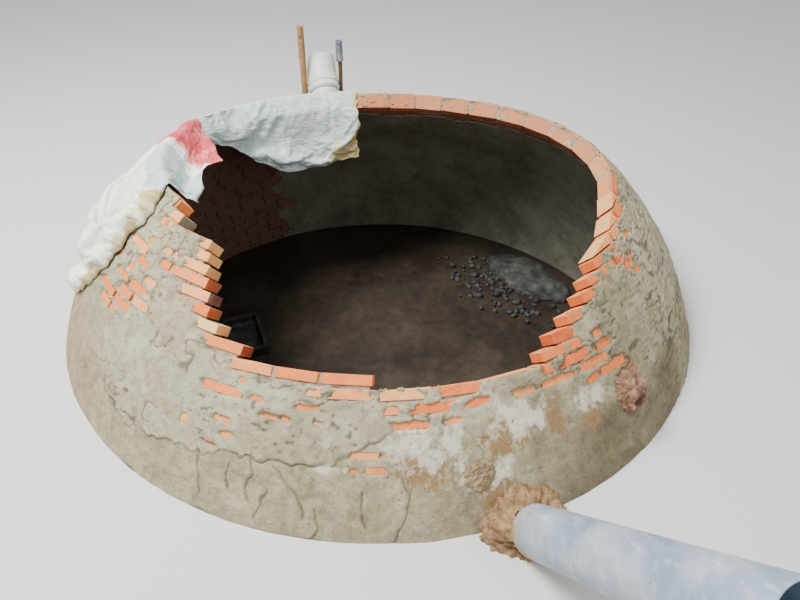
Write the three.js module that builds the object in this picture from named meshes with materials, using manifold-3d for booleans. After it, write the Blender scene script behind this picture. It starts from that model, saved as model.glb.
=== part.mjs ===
// Brick biogas digester: the domed chamber as it stands before its crown is closed.
// Millimetres, +Z up. The origin is on the dome's axis, at the underside of the floor slab.
// Azimuths are in degrees: 0 faces -Y, the low side of the mouth, and 90 faces +X.

import * as THREE from 'three';
import { mergeVertices } from 'three/addons/utils/BufferGeometryUtils.js';
import Module from 'manifold-3d';

// Dome
const SHELL_RADIUS = 1865;      // outer face, where it is widest
const SHELL_RISE = 1901;        // vertical half axis of the outer face
const SHELL_CENTRE = 13;        // height of the widest point
const WALL = 95;                // 80 mm of brick and its plaster
const WATERLINE = 800;          // above it the dome was built slightly oval
const OVAL_BLEND = 200;
const OVAL_MEAN = -0.06;
const OVAL_SWING = -0.15;

// Brick courses, counted from the lowest course of the mouth
const COURSE = 50;
const MOUTH_LOW = 1246;         // top of course 0
const RIM_COURSE = 9;
const LEFT_RAISE = [[-118, -52], [-110, -57]];  // two more courses on the left rim
const TIER_COURSE = -15;        // bed joint between the lower and the upper wall
const LEFT_STEPS = [0.8, -22.8, -28.8, -32.1, -33.4, -35.3, -36.9, -38.6, -40.2];
const RIGHT_STEPS = [30, 33.4, 38, 43.2, 46.8, 51, 61, 68, 75.5];

// Wall segments
const SECTORS = 12;
const SECTOR_START = 5;
const FACET = 6;
const LOWER_ROWS = 3;
const UPPER_ROWS = 4;

// Floor
const SLAB = 80;
const SUMP = { x: -955, y: 240, width: 270, depth: 390, curb: 30, height: 60, turn: 0.38 };

// Pipes: the point where the axis meets the outer face, and the rising direction
const PIPE_OUTER = 100;
const PIPE_WALL = 5;
const SOCKET_OUTER = 112;
const SOCKET_RIB = 118;
const INLET = {
  at: [598, -1588, 777],
  rise: [0.231, -0.626, 0.745],
  inside: 165,
  outside: 1300,
};
const OUTLET = {
  at: [-427, 1564, 978],
  rise: [-0.180, 0.642, 0.745],
  inside: 165,
  outside: 470,
};
const SOCKET = { from: 360, to: 620, ribs: [372, 412], rib: 18 };
const COLLAR = { inlet: 190, outlet: 150, rise: 130, sink: 60 };

// Stakes beside the outlet socket
const STAKE_STATION = 430;      // along the outlet axis, where both stakes touch the socket
const BAMBOO = { radius: 27, top: 1715, seat: -0.5 };
const POLE = { radius: 17, top: 1600, seat: 0.2, sleeve: 30, sleeveLength: 150 };

// Sacks
const FLANK_SACK = { from: -116, to: -61, low: 1000, thick: 40 };
const RIM_SACK = { from: -168, to: -120, hang: 330, thick: 10 };

// Lumps of mortar left on the wall and at its foot
const SIDE_LUMP = { azimuth: 44.3, height: 1035, width: 85, tall: 95, thick: 45 };
const FRONT_LUMP = { azimuth: 15.5, height: 986, width: 60, tall: 60, thick: 30 };
const HEAP = { azimuth: 132, reach: 1480, width: 380, depth: 200, height: 120 };

const GAP = 0.3;                // between pieces that touch
const DEG = Math.PI / 180;

const wasm = await Module();
wasm.setup();

const MATERIALS = {
  brick: new THREE.MeshStandardMaterial({ color: 0xb5603f, roughness: 0.9, metalness: 0 }),
  plaster: new THREE.MeshStandardMaterial({ color: 0x8d8a7c, roughness: 0.95, metalness: 0 }),
  mortar: new THREE.MeshStandardMaterial({ color: 0x8a7560, roughness: 0.95, metalness: 0 }),
  pipe: new THREE.MeshStandardMaterial({ color: 0x97a1a5, roughness: 0.5, metalness: 0 }),
  bamboo: new THREE.MeshStandardMaterial({ color: 0xa08a5e, roughness: 0.7, metalness: 0 }),
  wood: new THREE.MeshStandardMaterial({ color: 0x5a4634, roughness: 0.8, metalness: 0 }),
  sack: new THREE.MeshStandardMaterial({ color: 0xcfd0c8, roughness: 0.8, metalness: 0 }),
};

const model = new THREE.Group();
model.name = 'biogas_digester';

function addPiece(name, geometry, material) {
  const mesh = new THREE.Mesh(geometry, material);
  mesh.name = name;
  model.add(mesh);
  return mesh;
}

// The dome's outer face

function meridianRadius(z) {
  const t = (z - SHELL_CENTRE) / SHELL_RISE;
  return SHELL_RADIUS * Math.sqrt(1 - t * t);
}

function ovalHeight(z) {
  const h = z - WATERLINE;
  if (h <= -OVAL_BLEND) {
    return 0;
  }
  if (h >= OVAL_BLEND) {
    return h;
  }
  return (h + OVAL_BLEND) ** 2 / (4 * OVAL_BLEND);
}

function shellRadius(azimuth, z) {
  const swing = OVAL_MEAN + OVAL_SWING * Math.cos(2 * azimuth * DEG);
  return meridianRadius(z) + ovalHeight(z) * swing;
}

// Outward normal of the meridian, as [radial, vertical]
function meridianNormal(z) {
  const radial = meridianRadius(z) / SHELL_RADIUS ** 2;
  const vertical = (z - SHELL_CENTRE) / SHELL_RISE ** 2;
  const length = Math.hypot(radial, vertical);
  return [radial / length, vertical / length];
}

function polar(radius, azimuth, z) {
  const a = azimuth * DEG;
  return [radius * Math.sin(a), -radius * Math.cos(a), z];
}

// A point on the dome at a height of the outer face, moved inwards by depth
function shellPoint(azimuth, z, depth = 0) {
  const [radial, vertical] = meridianNormal(z);
  return polar(shellRadius(azimuth, z) - depth * radial, azimuth, z - depth * vertical);
}

function aboveSlab([x, y, z]) {
  return [x, y, Math.max(z, SLAB + GAP)];
}

// Height of a bed joint, measured along the outer face from course 0
function courseHeight(course) {
  const step = Math.sign(course);
  let z = MOUTH_LOW;
  for (let s = 0; s < Math.abs(course) * COURSE; s += 1) {
    z += step * meridianNormal(z)[0];
  }
  return z;
}

// Number of courses above the low mouth that stand at an azimuth between -180 and 180
function coursesAt(azimuth) {
  let count = 0;
  while (count < RIM_COURSE && (azimuth < LEFT_STEPS[count] || azimuth > RIGHT_STEPS[count])) {
    count += 1;
  }
  return count + LEFT_RAISE.filter(([from, to]) => azimuth > from && azimuth < to).length;
}

function wrap(azimuth) {
  return ((azimuth + 540) % 360) - 180;
}

// Closed solids

function indexedSolid(points, faces) {
  const geometry = new THREE.BufferGeometry();
  geometry.setAttribute('position', new THREE.Float32BufferAttribute(points.flat(), 3));
  geometry.setIndex(faces);
  return geometry;
}

// Blocks of wall between azimuth lines and heights; isSolid(i, j) says which cells stand
function shellBlocks(azimuths, heights, outer, inner, isSolid) {
  const rows = heights.length;
  const points = azimuths.flatMap((azimuth) => heights.flatMap(
    (z) => [outer, inner].map((depth) => aboveSlab(shellPoint(azimuth, z, depth))),
  ));
  const used = (i, j) => i >= 0 && j >= 0 && i < azimuths.length - 1 && j < rows - 1 && isSolid(i, j);
  const vertex = (i, j, side) => 2 * (i * rows + j) + side;
  const faces = [];
  const quad = (a, b, c, d) => faces.push(a, b, c, a, c, d);
  for (let i = 0; i < azimuths.length - 1; i += 1) {
    for (let j = 0; j < rows - 1; j += 1) {
      if (!used(i, j)) {
        continue;
      }
      quad(vertex(i, j, 0), vertex(i + 1, j, 0), vertex(i + 1, j + 1, 0), vertex(i, j + 1, 0));
      quad(vertex(i, j, 1), vertex(i, j + 1, 1), vertex(i + 1, j + 1, 1), vertex(i + 1, j, 1));
      if (!used(i - 1, j)) {
        quad(vertex(i, j, 1), vertex(i, j, 0), vertex(i, j + 1, 0), vertex(i, j + 1, 1));
      }
      if (!used(i + 1, j)) {
        quad(vertex(i + 1, j, 0), vertex(i + 1, j, 1), vertex(i + 1, j + 1, 1), vertex(i + 1, j + 1, 0));
      }
      if (!used(i, j + 1)) {
        quad(vertex(i, j + 1, 0), vertex(i + 1, j + 1, 0), vertex(i + 1, j + 1, 1), vertex(i, j + 1, 1));
      }
      if (!used(i, j - 1)) {
        quad(vertex(i, j, 0), vertex(i, j, 1), vertex(i + 1, j, 1), vertex(i + 1, j, 0));
      }
    }
  }
  return compact(points, faces);
}

// Drops the points that no face uses
function compact(points, faces) {
  const order = [...new Set(faces)];
  const place = new Map(order.map((old, index) => [old, index]));
  return indexedSolid(order.map((old) => points[old]), faces.map((old) => place.get(old)));
}

// A section of [radius, height] points, swept round the dome's axis between azimuths
function sweptSection(azimuths, section) {
  const rings = azimuths.map((azimuth) => section(azimuth).map(([r, z]) => polar(r, azimuth, z)));
  const count = rings[0].length;
  const faces = [];
  for (let i = 0; i < rings.length - 1; i += 1) {
    for (let j = 0; j < count; j += 1) {
      const a = i * count + j;
      const b = i * count + (j + 1) % count;
      faces.push(a, a + count, b + count, a, b + count, b);
    }
  }
  const last = (rings.length - 1) * count;
  const outline = section(azimuths[0]).map(([r, z]) => new THREE.Vector2(r, z));
  for (const [a, b, c] of THREE.ShapeUtils.triangulateShape(outline, [])) {
    faces.push(a, b, c, last + c, last + b, last + a);
  }
  return indexedSolid(rings.flat(), faces);
}

// A ring turned about +Y from a closed [radius, height] outline
function turnedRing(outline, segments = 32) {
  const points = [...outline, outline[0]].map(([r, y]) => new THREE.Vector2(r, y));
  return new THREE.LatheGeometry(points, segments);
}

// Moves a solid that was built along +Y so that its foot is at a point and it rises that way
function alongAxis(geometry, foot, rise) {
  const turn = new THREE.Quaternion().setFromUnitVectors(new THREE.Vector3(0, 1, 0), rise);
  return geometry.applyQuaternion(turn).translate(foot.x, foot.y, foot.z);
}

// Joins and cuts

function toManifold(geometry) {
  const bare = geometry.clone();
  bare.deleteAttribute('normal');
  bare.deleteAttribute('uv');
  const merged = mergeVertices(bare, 1e-3);
  return new wasm.Manifold(new wasm.Mesh({
    numProp: 3,
    vertProperties: new Float32Array(merged.attributes.position.array),
    triVerts: new Uint32Array(merged.index.array),
  }));
}

function fromManifold(solid) {
  const mesh = solid.getMesh();
  const geometry = new THREE.BufferGeometry();
  geometry.setAttribute('position', new THREE.BufferAttribute(mesh.vertProperties, 3));
  geometry.setIndex(new THREE.BufferAttribute(mesh.triVerts, 1));
  return geometry;
}

function cut(geometry, ...tools) {
  let solid = toManifold(geometry);
  for (const tool of tools) {
    solid = solid.subtract(tool);
  }
  return fromManifold(solid);
}

// The volume inside the dome's outer face, grown outwards by the gap
function domeVolume() {
  const azimuths = range(0, SECTORS - 1, 1).flatMap((index) => sectorAzimuths(index).slice(0, -1));
  const heights = [...bodyHeights, ...[0, 3, 6, 9].map((course) => courseHeight(course))];
  const points = heights.flatMap((z) => azimuths.map((azimuth) => shellPoint(azimuth, z, -GAP)));
  const count = azimuths.length;
  const top = points.push([0, 0, heights.at(-1)]) - 1;
  const foot = points.push([0, 0, heights[0]]) - 1;
  const faces = [];
  for (let i = 0; i < count; i += 1) {
    const next = (i + 1) % count;
    for (let j = 0; j < heights.length - 1; j += 1) {
      const a = j * count;
      faces.push(a + i, a + next, a + count + next, a + i, a + count + next, a + count + i);
    }
    const last = (heights.length - 1) * count;
    faces.push(last + i, last + next, top);
    faces.push(next, i, foot);
  }
  return toManifold(indexedSolid(points, faces));
}

function range(from, to, step) {
  const count = Math.max(1, Math.round((to - from) / step));
  return Array.from({ length: count + 1 }, (_, i) => from + (to - from) * i / count);
}

// Pipes

function axisOf(pipe) {
  const rise = new THREE.Vector3(...pipe.rise).normalize();
  const at = new THREE.Vector3(...pipe.at);
  return { rise, station: (distance) => at.clone().addScaledVector(rise, distance) };
}

function pipeGeometry(pipe) {
  const { rise, station } = axisOf(pipe);
  const length = pipe.inside + pipe.outside;
  const bore = PIPE_OUTER - PIPE_WALL;
  const ring = turnedRing([[bore, 0], [PIPE_OUTER, 0], [PIPE_OUTER, length], [bore, length]]);
  return alongAxis(ring, station(-pipe.inside), rise);
}

function pipeCutter(pipe) {
  const { rise, station } = axisOf(pipe);
  const length = 1200;
  const rod = new THREE.CylinderGeometry(PIPE_OUTER + GAP, PIPE_OUTER + GAP, length, 32);
  rod.translate(0, length / 2, 0);
  return toManifold(alongAxis(rod, station(-length / 2), rise));
}

function collarGeometry(pipe, width, dome) {
  const { rise, station } = axisOf(pipe);
  const bore = PIPE_OUTER + GAP;
  const outline = [
    [bore, 0],
    [width, 0],
    [width * 0.95, COLLAR.sink + 40],
    [width * 0.8, COLLAR.sink + COLLAR.rise * 0.7],
    [bore + 18, COLLAR.sink + COLLAR.rise],
    [bore, COLLAR.sink + COLLAR.rise],
  ];
  const ring = alongAxis(turnedRing(outline), station(-COLLAR.sink), rise);
  return cut(ring, dome);
}

// Wall segments

const tierHeight = courseHeight(TIER_COURSE);
const bodyHeights = range(tierHeight, MOUTH_LOW, (MOUTH_LOW - tierHeight) / UPPER_ROWS).slice(0, -1);
const topCourse = RIM_COURSE + LEFT_RAISE.length;
const heightOfCourse = range(0, topCourse, 1).map((course) => courseHeight(course));
const inletCutter = pipeCutter(INLET);
const outletCutter = pipeCutter(OUTLET);
const domeInside = domeVolume();

function sectorAzimuths(index) {
  const from = SECTOR_START + index * 360 / SECTORS;
  const to = from + 360 / SECTORS;
  const half = GAP / 2 / meridianRadius(MOUTH_LOW) / DEG;
  const steps = [...LEFT_STEPS, ...RIGHT_STEPS, ...LEFT_RAISE.flat()];
  const turns = steps.flatMap((step) => [step, step + 360]);
  const inside = turns.filter((step) => step > from + 0.1 && step < to - 0.1);
  const regular = range(from, to, FACET).slice(1, -1);
  const apart = regular.filter((azimuth) => inside.every((step) => Math.abs(step - azimuth) > 0.9));
  return [from + half, ...[...apart, ...inside].sort((a, b) => a - b), to - half];
}

function bored(geometry, azimuths) {
  const from = azimuths[0];
  const to = azimuths.at(-1);
  let result = geometry;
  for (const [pipe, cutter] of [[INLET, inletCutter], [OUTLET, outletCutter]]) {
    const azimuth = Math.atan2(pipe.at[0], -pipe.at[1]) / DEG;
    if ([azimuth, azimuth + 360].some((value) => value > from && value < to)) {
      result = cut(result, cutter);
    }
  }
  return result;
}

function lowerWall(index) {
  const azimuths = sectorAzimuths(index);
  const heights = range(SLAB + GAP, tierHeight - GAP, (tierHeight - SLAB) / LOWER_ROWS);
  return shellBlocks(azimuths, heights, 0, WALL, () => true);
}

function upperWall(index) {
  const azimuths = sectorAzimuths(index);
  const middles = azimuths.slice(1).map((azimuth, i) => wrap((azimuth + azimuths[i]) / 2));
  const tops = middles.map((azimuth) => coursesAt(azimuth));
  const levels = [...new Set([...tops, 0, 3, 6, 9])].filter((level) => level <= Math.max(...tops));
  const courses = levels.sort((a, b) => a - b);
  const heights = [...bodyHeights, ...courses.map((level) => heightOfCourse[level])];
  const isSolid = (i, j) => j < bodyHeights.length || courses[j + 1 - bodyHeights.length] <= tops[i];
  return bored(shellBlocks(azimuths, heights, 0, WALL, isSolid), azimuths);
}

for (let i = 0; i < SECTORS; i += 1) {
  const label = String(i + 1).padStart(2, '0');
  addPiece(`lower_wall_${label}`, lowerWall(i), MATERIALS.plaster);
  addPiece(`upper_wall_${label}`, upperWall(i), MATERIALS.plaster);
}

// Floor slab, as wide as the wall that stands on it, and the curb of the sump

function floorSlab() {
  const radius = shellPoint(0, SLAB, 0)[1];
  const disc = new THREE.CylinderGeometry(-radius, -radius, SLAB, 360 / FACET);
  return disc.rotateX(Math.PI / 2).translate(0, 0, SLAB / 2);
}

function sumpCurb() {
  const outline = new THREE.Shape();
  const hole = new THREE.Path();
  const x = SUMP.width / 2;
  const y = SUMP.depth / 2;
  outline.setFromPoints([[-x, -y], [x, -y], [x, y], [-x, y]].map((p) => new THREE.Vector2(...p)));
  const inner = [[-1, -1], [-1, 1], [1, 1], [1, -1]];
  hole.setFromPoints(inner.map(([u, v]) => new THREE.Vector2(u * (x - SUMP.curb), v * (y - SUMP.curb))));
  outline.holes.push(hole);
  const curb = new THREE.ExtrudeGeometry(outline, { depth: SUMP.height, bevelEnabled: false });
  return curb.rotateZ(SUMP.turn).translate(SUMP.x, SUMP.y, SLAB + GAP);
}

addPiece('floor_slab', floorSlab(), MATERIALS.mortar);
addPiece('sump_curb', sumpCurb(), MATERIALS.brick);

// Pipes, the socket on the outlet and the mortar collars round both

function outletSocket() {
  const { rise, station } = axisOf(OUTLET);
  const bore = PIPE_OUTER + GAP;
  const outline = [[bore, SOCKET.from], [SOCKET_OUTER, SOCKET.from]];
  for (const rib of SOCKET.ribs) {
    outline.push([SOCKET_OUTER, rib], [SOCKET_RIB, rib]);
    outline.push([SOCKET_RIB, rib + SOCKET.rib], [SOCKET_OUTER, rib + SOCKET.rib]);
  }
  outline.push([SOCKET_OUTER, SOCKET.to], [bore, SOCKET.to]);
  return alongAxis(turnedRing(outline), station(0), rise);
}

addPiece('inlet_pipe', pipeGeometry(INLET), MATERIALS.pipe);
addPiece('inlet_collar', collarGeometry(INLET, COLLAR.inlet, domeInside), MATERIALS.mortar);
addPiece('outlet_pipe', pipeGeometry(OUTLET), MATERIALS.pipe);
addPiece('outlet_socket', outletSocket(), MATERIALS.pipe);
addPiece('outlet_collar', collarGeometry(OUTLET, COLLAR.outlet, domeInside), MATERIALS.mortar);

// Stakes: each touches the side of the socket and stands on the ground beside the slab

// The seat is the distance between the round forms, less what their facets leave open
function stakeFoot({ radius, seat }, side) {
  const { rise, station } = axisOf(OUTLET);
  const level = station(STAKE_STATION);
  const across = new THREE.Vector3(0, 0, 1).cross(rise).normalize();
  return level.addScaledVector(across, side * (SOCKET_RIB + radius + seat)).setZ(0);
}

function upright(radius, from, to, foot) {
  const rod = new THREE.CylinderGeometry(radius, radius, to - from, 16);
  return rod.rotateX(Math.PI / 2).translate(foot.x, foot.y, (from + to) / 2);
}

const bambooFoot = stakeFoot(BAMBOO, 1);
const poleFoot = stakeFoot(POLE, -1);
addPiece('bamboo_stake', upright(BAMBOO.radius, 0, BAMBOO.top, bambooFoot), MATERIALS.bamboo);
const sleeveFrom = POLE.top - POLE.sleeveLength;
addPiece('pole_stake', upright(POLE.radius, 0, sleeveFrom - GAP, poleFoot), MATERIALS.wood);
addPiece('pole_head', upright(POLE.sleeve, sleeveFrom, POLE.top, poleFoot), MATERIALS.pipe);

// Sacks: one lies on the left flank, one hangs over the rim into the chamber

// The wall's own azimuth lines, so that a sack follows its facets
function wallAzimuths(from, to) {
  const lines = range(0, SECTORS - 1, 1).flatMap((index) => sectorAzimuths(index));
  return lines.map(wrap).filter((azimuth) => azimuth >= from && azimuth <= to).sort((a, b) => a - b);
}

function flankSack() {
  const azimuths = wallAzimuths(FLANK_SACK.from, FLANK_SACK.to);
  const body = bodyHeights.filter((z) => z > FLANK_SACK.low);
  const heights = [...body, ...[0, 3, 6, 9].map((course) => heightOfCourse[course])];
  return shellBlocks(azimuths, heights, -GAP - FLANK_SACK.thick, -GAP, () => true);
}

function rimSack() {
  const rim = heightOfCourse[RIM_COURSE];
  const [radial, vertical] = meridianNormal(rim);
  const section = (azimuth) => {
    const outer = shellRadius(azimuth, rim);
    const edge = outer - WALL * radial - GAP;
    const edgeZ = rim - WALL * vertical;
    const up = [-vertical * (GAP + RIM_SACK.thick), radial * (GAP + RIM_SACK.thick)];
    const seat = [-vertical * GAP, radial * GAP];
    return [
      [outer + seat[0], rim + seat[1]],
      [outer + up[0], rim + up[1]],
      [edge - RIM_SACK.thick, edgeZ + up[1]],
      [edge - RIM_SACK.thick, edgeZ - RIM_SACK.hang],
      [edge, edgeZ - RIM_SACK.hang],
      [edge, edgeZ + seat[1]],
    ];
  };
  return sweptSection(wallAzimuths(RIM_SACK.from, RIM_SACK.to), section);
}

addPiece('flank_sack', flankSack(), MATERIALS.sack);
addPiece('rim_sack', rimSack(), MATERIALS.sack);

// Lumps of mortar on the wall, and the heap inside at its foot

function wallLump({ azimuth, height, width, tall, thick }) {
  const ball = new THREE.SphereGeometry(1, 14, 8).scale(width, thick, tall);
  const [x, y, z] = shellPoint(azimuth, height, 0);
  return cut(ball.rotateZ(azimuth * DEG).translate(x, y, z), domeInside);
}

function mortarHeap() {
  const ball = new THREE.SphereGeometry(1, 16, 10).scale(HEAP.width, HEAP.depth, HEAP.height);
  const [x, y] = polar(HEAP.reach, HEAP.azimuth, 0);
  const ground = new THREE.BoxGeometry(4000, 4000, 400).translate(0, 0, SLAB + GAP - 200);
  const heap = ball.rotateZ(HEAP.azimuth * DEG).translate(x, y, SLAB);
  return cut(heap, toManifold(ground));
}

addPiece('side_lump', wallLump(SIDE_LUMP), MATERIALS.mortar);
addPiece('front_lump', wallLump(FRONT_LUMP), MATERIALS.mortar);
addPiece('mortar_heap', mortarHeap(), MATERIALS.mortar);

export default model;
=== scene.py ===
"""Dresses the brick biogas digester: bricks, coats of plaster, pipes, stakes and sacks round its frame.

Metres, +Z up. The origin is on the dome's axis at the underside of the floor slab.
Azimuths are in degrees: 0 faces -Y, the low side of the mouth, and 90 faces +X.
Heights on the wall are counted in brick courses along its outer face, 0 at the mouth's low side.
"""

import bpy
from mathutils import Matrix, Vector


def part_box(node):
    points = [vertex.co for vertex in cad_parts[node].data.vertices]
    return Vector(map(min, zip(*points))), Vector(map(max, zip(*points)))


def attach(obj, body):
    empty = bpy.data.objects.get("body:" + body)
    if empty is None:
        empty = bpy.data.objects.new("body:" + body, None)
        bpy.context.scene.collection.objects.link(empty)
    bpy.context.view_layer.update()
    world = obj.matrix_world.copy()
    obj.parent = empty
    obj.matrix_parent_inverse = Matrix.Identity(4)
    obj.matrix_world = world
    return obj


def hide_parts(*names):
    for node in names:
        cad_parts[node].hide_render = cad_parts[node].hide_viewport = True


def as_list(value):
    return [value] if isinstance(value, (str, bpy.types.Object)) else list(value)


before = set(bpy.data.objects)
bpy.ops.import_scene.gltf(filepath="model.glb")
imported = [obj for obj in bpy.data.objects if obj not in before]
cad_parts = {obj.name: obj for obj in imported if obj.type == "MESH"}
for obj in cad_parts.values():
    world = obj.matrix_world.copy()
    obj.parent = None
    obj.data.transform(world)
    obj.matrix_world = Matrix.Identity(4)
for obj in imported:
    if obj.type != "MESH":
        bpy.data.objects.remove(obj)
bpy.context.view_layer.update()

import logging
import math
import random
from dataclasses import dataclass, field, replace
from enum import Enum
from functools import cached_property
from typing import Callable, Iterable, Sequence

import bmesh
import bpy
import numpy as np
from mathutils import Matrix, Vector, noise

LOG = logging.getLogger("digester")
BODY = "root"
GROUND = 0.8    # level of the stage outside, above the slab's underside
REACH = 1.5     # radius at which distances along the wall are counted
Colour = tuple[float, float, float, float]
Pair = tuple[float, float]
Triple = tuple[float, float, float]
Pairs = Sequence[Pair]
Array = np.ndarray
Shape = bmesh.types.BMesh
Mesh = bpy.types.Mesh
Material = bpy.types.Material
Piece = bpy.types.Object
Tree = bpy.types.NodeTree
Node = bpy.types.Node
Socket = bpy.types.NodeSocket
Field = Callable[[Array, Array], Array]      # gives a value from azimuths and courses


def tint(red: int, green: int, blue: int) -> Colour:
    """A display colour as the linear one that shaders take.

    Args:
        red: from 0 to 255, as green and blue are.

    Returns:
        The linear colour with full alpha.
    """
    def linear(value: int) -> float:
        """One of the three as a linear share."""
        v = value / 255
        return v / 12.92 if v <= 0.04045 else ((v + 0.055) / 1.055) ** 2.4

    return (linear(red), linear(green), linear(blue), 1.0)


def wrapped(azimuth: Array) -> Array:
    """Azimuths brought between -180 and 180 degrees."""
    return (np.asarray(azimuth, float) + 540) % 360 - 180


def smooth(value: Array, low: float, high: float) -> Array:
    """A soft step from 0 at low to 1 at high."""
    t = np.clip((value - low) / (high - low), 0, 1)
    return t * t * (3 - 2 * t)


def table(pairs: Pairs, place: Array) -> Array:
    """Values from a table of places and values, evened out between them."""
    return np.interp(place, *zip(*pairs))


def ring(azimuth: Array, radius: Array, z: Array) -> Array:
    """Places round the axis, with a row of x, y and z for each."""
    a = np.radians(azimuth)
    return np.stack([radius * np.sin(a), -radius * np.cos(a), z], axis=-1)


class Slot(Enum):
    """The record's material slots."""

    PLASTER = "plaster"
    BRICK = "brick"
    MORTAR = "mortar"
    PIPE = "pipe"
    PIPE_LIGHT = "pipe_light"
    BAMBOO = "bamboo"
    WOOD = "wood"
    SLEEVE = "sleeve"
    SACK = "sack"


# The dome's form


class Unevenness:
    """Smooth random values on a repeating lattice, as a trowel leaves on a wall."""

    def __init__(self, seed: int, cells: int = 256) -> None:
        """Draws the lattice from a seed, with the given number of points along each side."""
        self.cells = cells
        self.table = np.random.default_rng(seed).random((cells, cells)) * 2 - 1

    def at(self, u: Array, v: Array, wide: float, tall: float) -> Array:
        """Values from -1 to 1 with features of the given width and height.

        Args:
            u: place along the wall in metres.
            v: place up the wall in metres.
            wide: size of a feature along the wall.
            tall: size of a feature up the wall.

        Returns:
            An array like u.
        """
        x, y = u / wide + 1000, v / tall + 1000
        i, j = np.floor(x).astype(int), np.floor(y).astype(int)
        fx, fy = x - i, y - j
        fx, fy = fx * fx * (3 - 2 * fx), fy * fy * (3 - 2 * fy)
        n = self.cells
        a, b = self.table[i % n, j % n], self.table[(i + 1) % n, j % n]
        c, d = self.table[i % n, (j + 1) % n], self.table[(i + 1) % n, (j + 1) % n]
        return (a + (b - a) * fx) * (1 - fy) + (c + (d - c) * fx) * fy

    def stones(self, u: Array, v: Array, size: float) -> tuple[Array, Array]:
        """Irregular cells, as packed stones.

        Args:
            u: place along the wall in metres.
            v: place up the wall in metres.
            size: of a cell.

        Returns:
            Distance from the cell's border, 0 on it, and a number from -1 to 1 for each cell.
        """
        x, y = u / size + 1000, v / size + 1000
        i, j = np.floor(x).astype(int), np.floor(y).astype(int)
        nearest, second, chance = np.full(u.shape, 9.0), np.full(u.shape, 9.0), np.zeros(u.shape)
        for di in (-1, 0, 1):
            for dj in (-1, 0, 1):
                a, b = (i + di) % self.cells, (j + dj) % self.cells
                far = np.hypot(
                    x - (i + di + 0.5 + 0.42 * self.table[a, b]), y - (j + dj + 0.5 + 0.42 * self.table[b, a])
                )
                closer = far < nearest
                second = np.where(closer, nearest, np.minimum(second, far))
                chance = np.where(closer, self.table[(a + 7) % self.cells, (b + 3) % self.cells], chance)
                nearest = np.where(closer, far, nearest)
        return second - nearest, chance


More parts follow.
